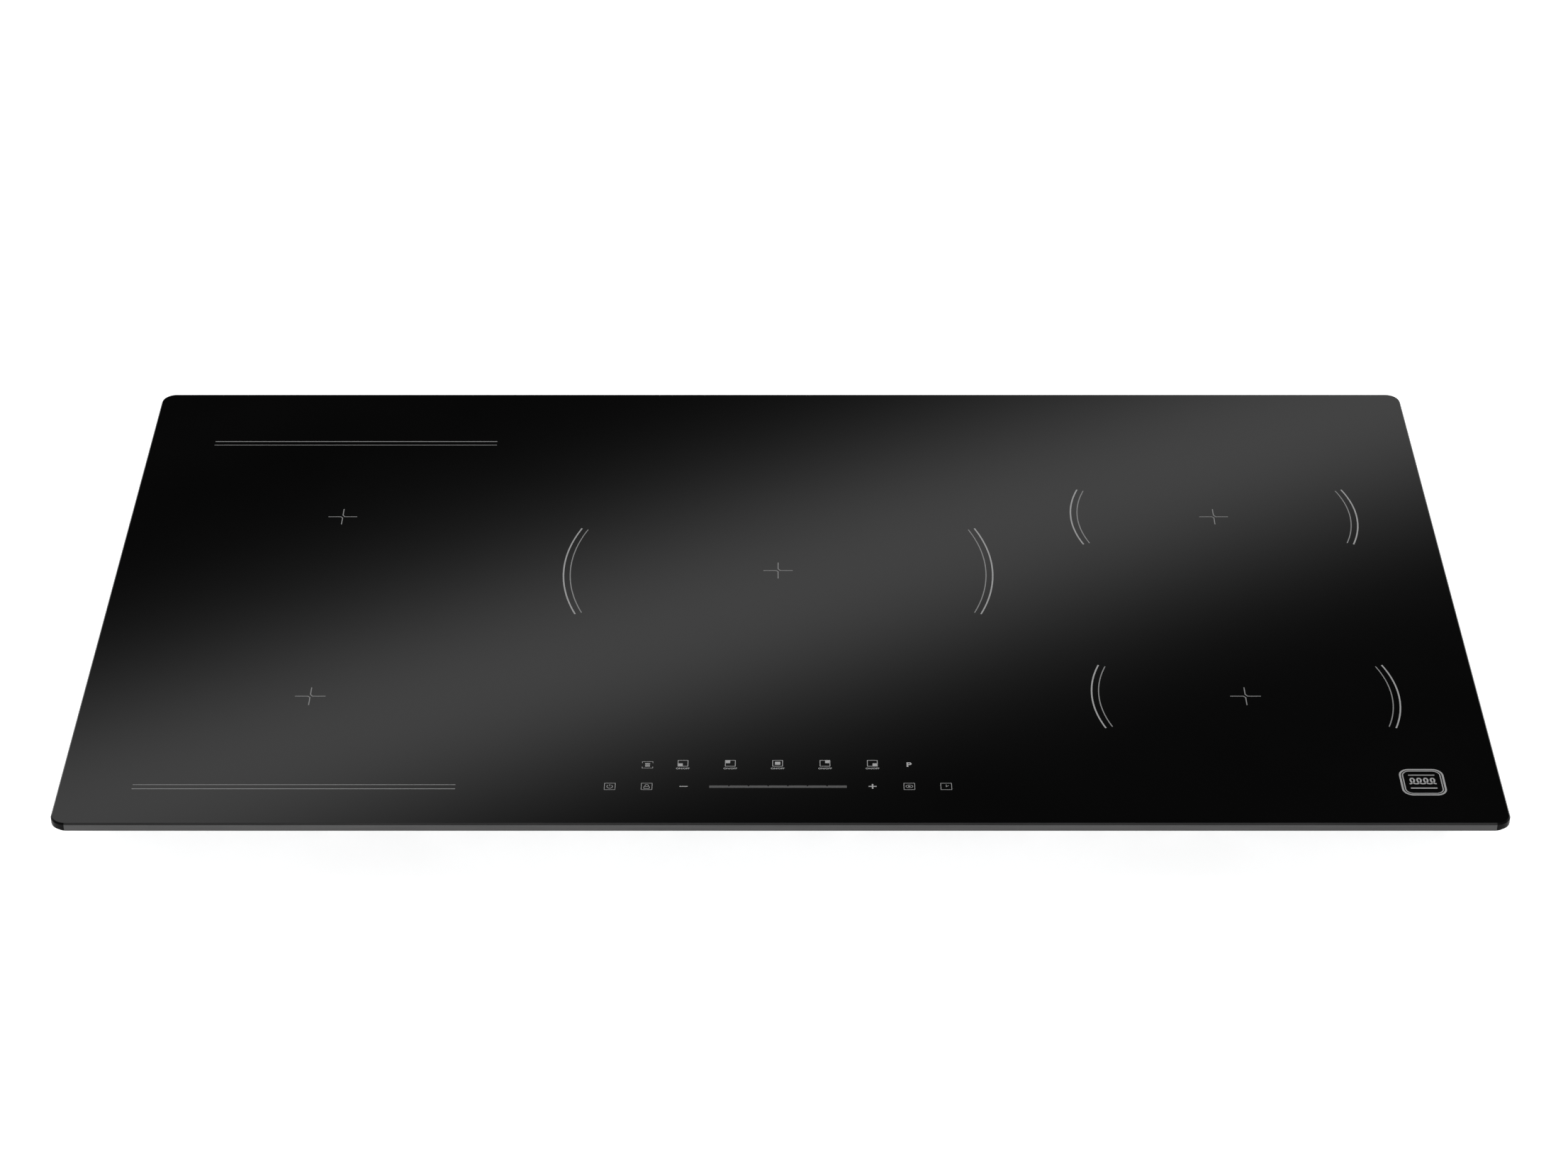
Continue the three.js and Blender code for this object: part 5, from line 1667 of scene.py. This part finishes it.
def coil_former(place):
    """The moulded disc or square under a winding, with a window between each two ferrite bars."""
    node = f"coil_former_{place}"
    low, high, x, y = place_mm(node)
    radius = (high.x - low.x) / 2

    def outline(inset):
        if place in SQUARE_COILS:
            return rounded_rectangle(2 * (radius - inset), 2 * (radius - inset), 36 - inset, 12)
        return circle(radius - inset, 96)

    start, end = 34, radius - 12
    opening = rounded_rectangle(end - start, 10, 3, 5, (end + start) / 2, 0)
    window = plate(opening, low.z - 1, high.z + 1)
    windows = [window.turned(a + TURN / 2 / FERRITE_BARS) for a in turn_angles(FERRITE_BARS)]
    bore = rod(12, low.z - 1, high.z + 1, 48)
    shape = carved(soft_plate(outline, low.z, high.z, 0.5), windows + [bore]).at(x, y)
    build(f"coil_carrier_web_{place}", shape, "white_plastic", node, coil_body(place), smooth=30)


def temperature_probe(place):
    """The sprung probe in the middle of a coil: a foot, a coil spring and a ceramic head."""
    node = f"temperature_sensor_{place}"
    low, high, x, y = place_mm(node)
    base, top = low.z, high.z
    foot = lathe([
        (0, base), (8.6, base), (9, base + 0.4), (9, base + 1.1), (8.6, base + 1.5), (4.6, base + 1.5),
        (4.2, base + 2.2), (4.0, top - 3.4), (4.0, top - 2.0), (0, top - 2.0),
    ], 36)
    head = lathe([
        (0, top - 2.2), (7.2, top - 2.2), (8, top - 1.5), (8, top - 0.5), (7.4, top), (3.2, top),
        (3.0, top - 0.25), (0, top - 0.25),
    ], 36)
    build(f"probe_{place}", joined([foot, head]).at(x, y), "ceramic", node, coil_body(place))
    turns, steps, radius = 4.5, 20, 5.1
    wire = []
    for i in range(int(turns * steps) + 1):
        a = TURN * i / steps
        rise = (top - 2.5 - base - 2.0) * i / (turns * steps)
        wire.append((radius * math.cos(a), radius * math.sin(a), base + 2.0 + rise))
    build(f"probe_spring_{place}", tube(wire, 0.35, 8).at(x, y), "spring", body=coil_body(place))


def leaf_spring(place, row):
    """A half-elliptic leaf under its carrier plate, with a mesh of its own."""
    node = f"plate_spring_{place}_{row}"
    low, high, x, y = place_mm(node)
    width, height, sheet = high.y - low.y, high.z - low.z, 0.8
    reach, rise = 20 - sheet / 2, height - sheet / 2
    foot = (high.x - low.x) / 2
    line = [(foot, 0.4), (reach + 1.0, 0.4)]
    for i in range(33):
        a = math.radians(3 + 174 * i / 32)
        line.append((reach * math.cos(a), rise * math.sin(a)))
    line += [(-reach - 1.0, 0.4), (-foot, 0.4)]
    leaf = ribbon(line, sheet, -width / 2, width / 2).turned(TURN / 4, "X")
    spring = build(f"leaf_spring_{place}_{row}", leaf.at(x, y, low.z), "spring", node, smooth=50)
    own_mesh(spring)


# ------------------------------------------------------------------ electronics

def soldered(parts, top, edge=0.5, corner=None):
    """Blocks on a board, each given as (x, y, width, depth, height)."""
    return joined([block(w, d, top - 0.1, top + h, edge, corner).at(x, y) for x, y, w, d, h in parts])


def spread(count, start, end):
    return [start + (end - start) * i / (count - 1) for i in range(count)]


BOARD_SHEET = 1.6
BOARD_TOP_Z = 8.6


def bare_board(name, node):
    """The laminate with its rounded corners; the copper and the solder mask are in its finish."""
    low, high = box_mm(node)
    middle_x, middle_y = (low.x + high.x) / 2, (low.y + high.y) / 2
    width, depth = high.x - low.x, high.y - low.y
    outline = shrinking(width, depth, 2.5, 4, middle_x, middle_y)
    build(name, soft_plate(outline, low.z, low.z + BOARD_SHEET, 0.15), "board", node)


def chip(x, y, width, depth, height, top, legs):
    """An integrated circuit with bent legs along two sides."""
    body = block(width, depth, top + 0.2, top + height, 0.25)
    leg = block(0.5, 1.8, top - 0.05, top + 0.35, 0.1).toned(1)
    pins = [
        leg.at(dx, side * (depth / 2 + 0.6))
        for side in (-1, 1)
        for dx in spread(legs, -width / 2 + 1, width / 2 - 1)
    ]
    return joined([body] + pins).at(x, y)


def small_parts(xs, ys, top, share, seed):
    """Chip resistors on some of the spots of a grid, the same ones on every run."""
    rng = random.Random(seed)
    middle = block(1.5, 1.3, top - 0.05, top + 0.55, 0.08)
    ends = [block(0.5, 1.4, top - 0.05, top + 0.6, 0.08).at(dx).toned(1) for dx in (-0.9, 0.9)]
    resistor = joined([middle] + ends)
    shapes = []
    for x in xs:
        for y in ys:
            if rng.random() < share:
                shapes.append(resistor.turned(rng.choice((0, TURN / 4))).at(x, y))
    return joined(shapes)


def can_capacitor(x, y, radius, height, top):
    """An aluminium can in its sleeve, with the scored vent on its lid."""
    end = top + height
    sleeve = lathe([
        (0, top - 0.1), (radius - 0.3, top - 0.1), (radius, top + 0.3), (radius, top + 2),
        (radius - 0.35, top + 2.6), (radius, top + 3.2), (radius, end - 0.6), (radius - 0.6, end),
        (radius - 1.4, end),
    ], 36)
    lid_top = top + height + 0.12
    base = lid_top - 0.7
    lid = lathe([(0, base), (radius - 1.3, base), (radius - 1.4, lid_top), (0, lid_top)], 36)
    reach = radius - 3
    score = cuboid((-reach, reach), (-0.2, 0.2), (lid_top - 0.3, lid_top + 0.5))
    lid = carved(carved(lid, [score]), [score.turned(TURN / 4)])
    return joined([sleeve, lid.toned(1)]).at(x, y)


def board_plug(top):
    """A plug's open shroud with six pins."""
    hollow = cuboid((-3.2, 3.2), (-9.6, 9.6), (top + 2, top + 9))
    shroud = carved(block(9, 22, top - 0.1, top + 8, 0.4), [hollow])
    pin = block(0.7, 0.7, top + 1, top + 6.5, 0.1).toned(1)
    return joined([shroud] + [pin.at(0, dy) for dy in spread(6, -7.5, 7.5)])


# Where the parts of an inverter board are, from the axis of its blower.
TALL_PARTS_X, DRIVERS_X, RESISTORS_X, CANS_X, PLUGS_X = -112, -72, (-62, -54), -38, -25
CONTROLLER_X, CONTROLLER_Y = -40, -195


def inverter_board(place):
    """The power board of two zones: film capacitors, relays, drivers, a controller and its cans."""
    node = f"inverter_board_{place}"
    x0, y0 = blower_middle(place)
    top = BOARD_TOP_Z
    bare_board(f"inverter_laminate_{place}", node)
    films = [(x0 + TALL_PARTS_X, y0 + y, 32, 18, 17) for y in spread(4, -285, -165)]
    build(f"film_capacitors_{place}", soldered(films, top, 0.8, 1.2), "film_box")
    relays = [(x0 + TALL_PARTS_X, y0 + y, 28, 14, 15) for y in spread(3, -110, -75)]
    build(f"relays_{place}", soldered(relays, top, 0.5, 0.8), "black_plastic")
    chips = [chip(x0 + DRIVERS_X, y0 + y, 12, 9, 2.5, top, 8) for y in spread(4, -270, -120)]
    chips.append(chip(x0 + CONTROLLER_X, y0 + CONTROLLER_Y, 22, 20.5, 2.0, top, 16))
    build(f"chips_{place}", joined(chips), ("chip", "tin"))
    cans = [can_capacitor(x0 + CANS_X, y0 + y, 9, 16, top) for y in spread(3, -285, -240)]
    build(f"can_capacitors_{place}", joined(cans), ("can_sleeve", "tin"))
    columns = [x0 + x for x in spread(3, *RESISTORS_X)]
    rows = [y0 + y for y in spread(46, -293, -68)]
    smalls = small_parts(columns, rows, top, 0.45, f"resistors {place}")
    build(f"chip_resistors_{place}", smalls, ("chip", "tin"))
    plugs = [board_plug(top).at(x0 + PLUGS_X, y0 + y) for y in (-180, -150, -120)]
    build(f"board_plugs_{place}", joined(plugs), ("terminal_plastic", "tin"))


def heatsink(place):
    """An extruded comb with rounded fin tips and a row of clipped power transistors beside it."""
    node = f"heatsink_{place}"
    low, high = box_mm(node)
    fins, fin, base = 8, 1.6, 3.0
    width, height = high.x - low.x, high.z - low.z
    pitch = (width - fin) / (fins - 1)
    outline = [(0, 0), (width, 0)]
    for i in reversed(range(fins)):
        right, left = i * pitch + fin, i * pitch
        if i < fins - 1:
            outline.append((right, base))
        outline += [(right - 0.1, height - 0.4), (right - 0.4, height)]
        outline += [(left + 0.4, height), (left + 0.1, height - 0.4)]
        if i:
            outline.append((left, base))
    comb = upright_plate(outline, -high.y, -low.y).at(low.x, 0, low.z)
    build(f"heatsink_comb_{place}", comb, "extrusion", node, smooth=25)
    top = BOARD_TOP_Z
    body = block(5, 15.8, top + 1.5, top + 19, 0.4)
    leg = block(0.7, 1.1, top - 0.1, top + 2, 0.1).toned(1)
    transistors = []
    for y in spread(6, low.y + 22, high.y - 22):
        transistors.append(body.at(low.x - 3.2, y))
        transistors += [leg.at(low.x - 3.2, y + dy) for dy in (-5.4, 0, 5.4)]
    build(f"power_transistors_{place}", joined(transistors), ("chip", "tin"))


def mains_fuse(x, y, top):
    """A glass cartridge with metal caps, on two feet."""
    axis_z = top + 5.4
    glass = lathe([(0, -10), (3, -10), (3, 10), (0, 10)], 28).turned(TURN / 4, "X").at(x, y, axis_z)
    cap = lathe([(0, 0), (3.4, 0), (3.5, 0.3), (3.5, 5.7), (3.4, 6), (0, 6)], 28)
    cap = cap.turned(TURN / 4, "X").toned(1)
    foot = block(5, 1.2, top - 0.1, top + 3, 0.2).toned(1)
    caps = [cap.at(x, y + dy, axis_z) for dy in (-7, 13)]
    return [glass] + caps + [foot.at(x, y + dy) for dy in (-10, 10)]


def filter_board():
    """The mains filter's board: fuses, relays, varistors and a suppression capacitor."""
    bare_board("filter_laminate", "filter_board")
    top = BOARD_TOP_Z
    relays = [(x, 56, 20, 16, 15) for x in spread(3, -128, -62)]
    build("filter_relays", soldered(relays, top, 0.5, 0.8), "black_plastic")
    fuses = mains_fuse(-170, 60, top) + mains_fuse(-155, 60, top)
    build("mains_fuses", joined(fuses), ("ceramic", "tin"))
    disc = soft_plate(lambda inset: circle(7 - inset, 36), -2, 2, 1.0).turned(TURN / 4, "X")
    discs = [disc.at(-58, y, top + 7.2) for y in spread(3, 84, 108)]
    build("varistors", joined(discs), "film_box")
    low, high, x, y = place_mm("filter_capacitor")
    size = high - low
    shape = block(size.x, size.y, low.z, high.z, 0.9, 1.6, 3).at(x, y)
    build("suppression_capacitor", shape, "film_box", "filter_capacitor")


def choke_winding(side, inner, outer, base, top, wire):
    """One half of the choke's wire, wound close round the section of its core."""
    loops, steps = 17, 28
    points = []
    for i in range(loops * steps + 1):
        share = i / (loops * steps)
        round_angle = math.radians(16 + 148 * share) + side * TURN / 2
        across, rise = softly_square(TURN * i / steps, 0.55)
        radius = (outer + inner) / 2 + across * ((outer - inner) / 2 + wire + 0.1)
        z = (base + top) / 2 + rise * ((top - base) / 2 + wire + 0.05)
        points.append((radius * math.cos(round_angle), radius * math.sin(round_angle), z))
    return tube(points, wire, 8)


def filter_choke():
    """A toroid core with its two halves of thick wire and the divider between them."""
    low, high, x, y = place_mm("filter_choke")
    outer, inner, wire = 21.8, 12.2, 0.95
    base, top = low.z + 2.0, high.z - 2.0
    core = ring([
        (inner, base + 1), (inner + 1, base), (outer - 1, base), (outer, base + 1), (outer, top - 1),
        (outer - 1, top), (inner + 1, top), (inner, top - 1),
    ], 64)
    build("choke_core", core.at(x, y), "ferrite", "filter_choke")
    windings = [choke_winding(side, inner, outer, base, top, wire) for side in (0, 1)]
    build("choke_windings", joined(windings).at(x, y), "magnet_wire")
    bar = block(2 * inner - 0.4, 2.2, base - 1.5, top + 1.5, 0.3).at(x, y)
    build("choke_divider", bar, "white_plastic")


def touch_controls():
    """The touch board: chips on its underside, and a foam electrode and a lamp under each key."""
    low, high = box_mm("touch_board")
    bare_board("touch_laminate", "touch_board")
    upside_down = Matrix.Scale(-1, 4, (0, 0, 1))
    under = chip(0, 0, 7, 5, 1.4, 0, 6).by(upside_down)
    chips = [under.at(x, (low.y + high.y) / 2, low.z) for x in spread(9, low.x + 20, high.x - 20)]
    build("touch_chips", joined(chips), ("chip", "tin"))
    upper = [BRIDGE_X, *spread(5, -2 * KEY_PITCH, 2 * KEY_PITCH), BOOST_X]
    lower = [POWER_X, LOCK_X, MINUS_X, *spread(7, -36.6, 36.6), PLUS_X, FUNCTION_X, TIMER_X]
    spots = [(PRINT_X + x, UPPER_ROW_Y) for x in upper]
    spots += [(PRINT_X + x, LOWER_ROW_Y + 1) for x in lower]
    pad = block(8, 7, high.z - 0.05, high.z + 1.2, 0.35, 1.2)
    lamp = block(1.6, 0.8, high.z - 0.05, high.z + 0.6, 0.12)
    pads = joined([pad.at(x, y) for x, y in spots])
    lamps = joined([lamp.at(x, y + (8 if y < UPPER_ROW_Y - 1 else -8)) for x, y in spots])
    build("touch_electrodes", pads, "rubber")
    build("touch_lamps", lamps, "ceramic")


def touch_holder():
    """The tray that carries the touch board, with a rim and ribs."""
    low, high = box_mm("touch_holder")
    width, depth = high.x - low.x, high.y - low.y
    hollow = plate(rounded_rectangle(width - 4, depth - 4, 1.5, 4), low.z + 1.5, high.z + 1)
    tray = carved(block(width, depth, low.z, high.z, 0.4, 2.5, 3), [hollow])
    reach = depth / 2 - 1.5
    ribs = [
        cuboid((x - 0.6, x + 0.6), (-reach, reach), (low.z + 1, low.z + 3))
        for x in spread(7, -width / 2 + 18, width / 2 - 18)
    ]
    shape = joined([tray] + ribs).at((low.x + high.x) / 2, (low.y + high.y) / 2)
    build("touch_tray", shape, "black_plastic", "touch_holder", smooth=30)


# ------------------------------------------------------------------ camera, floor and light

CAMERA_PLACE = Vector((0.00217, -2.12647, 1.44951))
CAMERA_DOWN = math.radians(33.273)
CAMERA_LENS = 87.378
FLOOR_SIZE = 60.0
BAND_DISTANCE = 6.0
BAND_CARD = (6.6, 3.8)
BAND_SLOPE = 0.3214
BAND_SHIFT = -0.0046
BAND_SIGMA = 0.1265
WORLD_DIFFUSE = 0.55
WORLD_WHITE = 1.3


def photo_camera():
    data = bpy.data.cameras.new("photo_camera")
    data.lens = CAMERA_LENS
    data.sensor_width = 36
    data.clip_end = 200
    camera = bpy.data.objects.new("photo_camera", data)
    camera.location = CAMERA_PLACE
    camera.rotation_euler = (TURN / 4 - CAMERA_DOWN, 0, 0)
    bpy.context.scene.collection.objects.link(camera)
    bpy.context.scene.camera = camera


def stage_plane(name, width, depth, material, matrix):
    mesh = bpy.data.meshes.new(name)
    x, y = width / 2, depth / 2
    mesh.from_pydata([(-x, -y, 0), (x, -y, 0), (x, y, 0), (-x, y, 0)], [], [(0, 1, 2, 3)])
    mesh.materials.append(material)
    obj = bpy.data.objects.new(name, mesh)
    obj.matrix_world = matrix
    bpy.context.scene.collection.objects.link(obj)
    return obj


def floor_material():
    """White paper that glows a little, so that it stays pale under the hob."""
    finish = Finish("pale_floor", grey(0.86), 1)
    finish.shader.inputs["Specular IOR Level"].default_value = 0
    finish.shader.inputs["Emission Color"].default_value = (1, 1, 1, 1)
    glow = finish.spread(finish.ray("Is Camera Ray"), 0, 1, 0.12, 0.75)
    finish.link(glow, finish.shader.inputs["Emission Strength"])
    return finish.material


BAND_STRENGTH = 0.673
BAND_FADE = -0.21
BAND_SOLID = (2.2, 0.85)
BAND_BORDER = 0.05


def band_material():
    """A long soft strip light: bright along a slanting line and fading to both sides."""
    material = bpy.data.materials.new("strip_light")
    nodes = Nodes(material)
    nodes.tree.nodes.clear()
    x, y, _ = nodes.parts(nodes.coordinates())
    along = nodes.math("MULTIPLY", x, BAND_SLOPE)
    off_line = nodes.math("SUBTRACT", nodes.math("SUBTRACT", y, BAND_SHIFT), along)
    distance = nodes.math("MULTIPLY", off_line, math.cos(math.atan(BAND_SLOPE)) / BAND_SIGMA)
    power = nodes.math("MULTIPLY", nodes.math("MULTIPLY", distance, distance), -0.5)
    level_off = nodes.math("MULTIPLY_ADD", y, BAND_FADE, BAND_STRENGTH)
    glow = nodes.node("Emission")
    nodes.link(nodes.math("MULTIPLY", nodes.math("EXPONENT", power), level_off), glow.inputs["Strength"])
    borders = [
        nodes.fade(nodes.math("ABSOLUTE", place), solid, size / 2 - BAND_BORDER, 1.0, 0.0)
        for place, solid, size in zip((x, y), BAND_SOLID, BAND_CARD)
    ]
    mix = nodes.node("MixShader")
    nodes.link(nodes.math("MULTIPLY", *borders), mix.inputs["Fac"])
    nodes.link(nodes.node("BsdfTransparent").outputs["BSDF"], mix.inputs[1])
    nodes.link(glow.outputs["Emission"], mix.inputs[2])
    nodes.link(mix.outputs["Shader"], nodes.node("OutputMaterial").inputs["Surface"])
    return material


def band_light():
    """The strip light stands where the glass mirrors it into the camera."""
    mirrored = Vector((CAMERA_PLACE.x, CAMERA_PLACE.y, 2 * GLASS_TOP_Z * MM - CAMERA_PLACE.z))
    down = CAMERA_DOWN
    axis = Vector((0, math.cos(down), math.sin(down)))
    up = Vector((0, math.sin(down), -math.cos(down)))
    turned = Matrix((Vector((1, 0, 0)), up, axis)).transposed().to_4x4()
    matrix = Matrix.Translation(mirrored + axis * BAND_DISTANCE) @ turned
    card = stage_plane("strip_light", *BAND_CARD, band_material(), matrix)
    for kind in ("visible_camera", "visible_diffuse", "visible_shadow", "visible_transmission"):
        setattr(card, kind, False)


def soft_lamp(name, place, target, size, power):
    """A rectangular lamp that is seen neither directly nor in a reflection."""
    data = bpy.data.lights.new(name, "AREA")
    data.shape = "RECTANGLE"
    data.size, data.size_y = size
    data.energy = power
    lamp = bpy.data.objects.new(name, data)
    lamp.location = place
    lamp.rotation_euler = (Vector(target) - Vector(place)).to_track_quat("-Z", "Y").to_euler()
    bpy.context.scene.collection.objects.link(lamp)
    lamp.visible_camera = False
    lamp.visible_glossy = False


def studio_world():
    """White to the eye; what the glass mirrors is pale only low down and to the sides."""
    world = bpy.data.worlds.new("studio")
    bpy.context.scene.world = world
    nodes = Nodes(world)
    nodes.tree.nodes.clear()
    x, y, z = nodes.parts(nodes.coordinates("Generated"))
    horizon = nodes.fade(z, 0.14, 0.33, 0.75, 0.0)
    sides = nodes.fade(nodes.math("ABSOLUTE", x), 0.26, 0.62, 0.0, 0.17)
    height = nodes.fade(z, 0.2, 0.75, 1.0, 0.25)
    behind = nodes.fade(y, -0.2, -0.8, 0.0, 0.22)
    mirrored = nodes.math("MAXIMUM", horizon, nodes.math("MULTIPLY", sides, height))
    mirrored = nodes.math("MAXIMUM", mirrored, behind)
    glossy = nodes.math("MULTIPLY", nodes.ray("Is Glossy Ray"), mirrored)
    rest = nodes.math("SUBTRACT", 1.0, nodes.ray("Is Glossy Ray"))
    strength = nodes.math("ADD", glossy, nodes.math("MULTIPLY", rest, WORLD_DIFFUSE))
    white = nodes.math("MULTIPLY", nodes.ray("Is Camera Ray"), WORLD_WHITE)
    background = nodes.node("Background")
    nodes.link(nodes.math("MAXIMUM", strength, white), background.inputs["Strength"])
    nodes.link(background.outputs["Background"], nodes.node("OutputWorld").inputs["Surface"])


def studio():
    stage_plane("pale_floor", FLOOR_SIZE, FLOOR_SIZE, floor_material(), Matrix.Identity(4))
    studio_world()
    band_light()
    soft_lamp("top_light", (0, 0.3, 3.2), (0, 0, 0), (3.4, 3.0), 52)
    soft_lamp("front_light", (0, -4.2, 1.1), (0, -0.2, 0), (4.5, 1.0), 34)
    bpy.context.scene.view_settings.view_transform = "Standard"


# ------------------------------------------------------------------ the whole

def keep_cad(node, finish):
    """A CAD node whose shape is right shows with a finish of its own."""
    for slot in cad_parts[node].material_slots:
        slot.material = FINISHES[finish][0]


def whole_hob():
    ceramic_glass()
    glass_print()
    glass_seal()
    base_pan()
    clamp_nuts()
    board_bosses()
    case_screws()
    hinge_lugs()
    terminal_cover()
    terminal_block()
    cable_gland()
    for place in CLAMPS:
        clamp_arm(place)
        clamp_bolt(place)
    for place in ("left", "right"):
        blower_housing(place)
        blower_impeller(place)
        inverter_board(place)
        heatsink(place)
    for carrier, places in COILS.items():
        keep_cad(f"coil_plate_{carrier}", "aluminium")
        keep_cad(f"mica_sheet_{carrier}", "mica")
        for row in ("rear", "front"):
            leaf_spring(carrier, row)
        for place in places:
            coil_winding(place)
            ferrite_bars(place)
            coil_former(place)
            temperature_probe(place)
    keep_cad("glass_frame", "galvanised")
    filter_board()
    filter_choke()
    touch_controls()
    touch_holder()


photo_camera()
studio()
whole_hob()
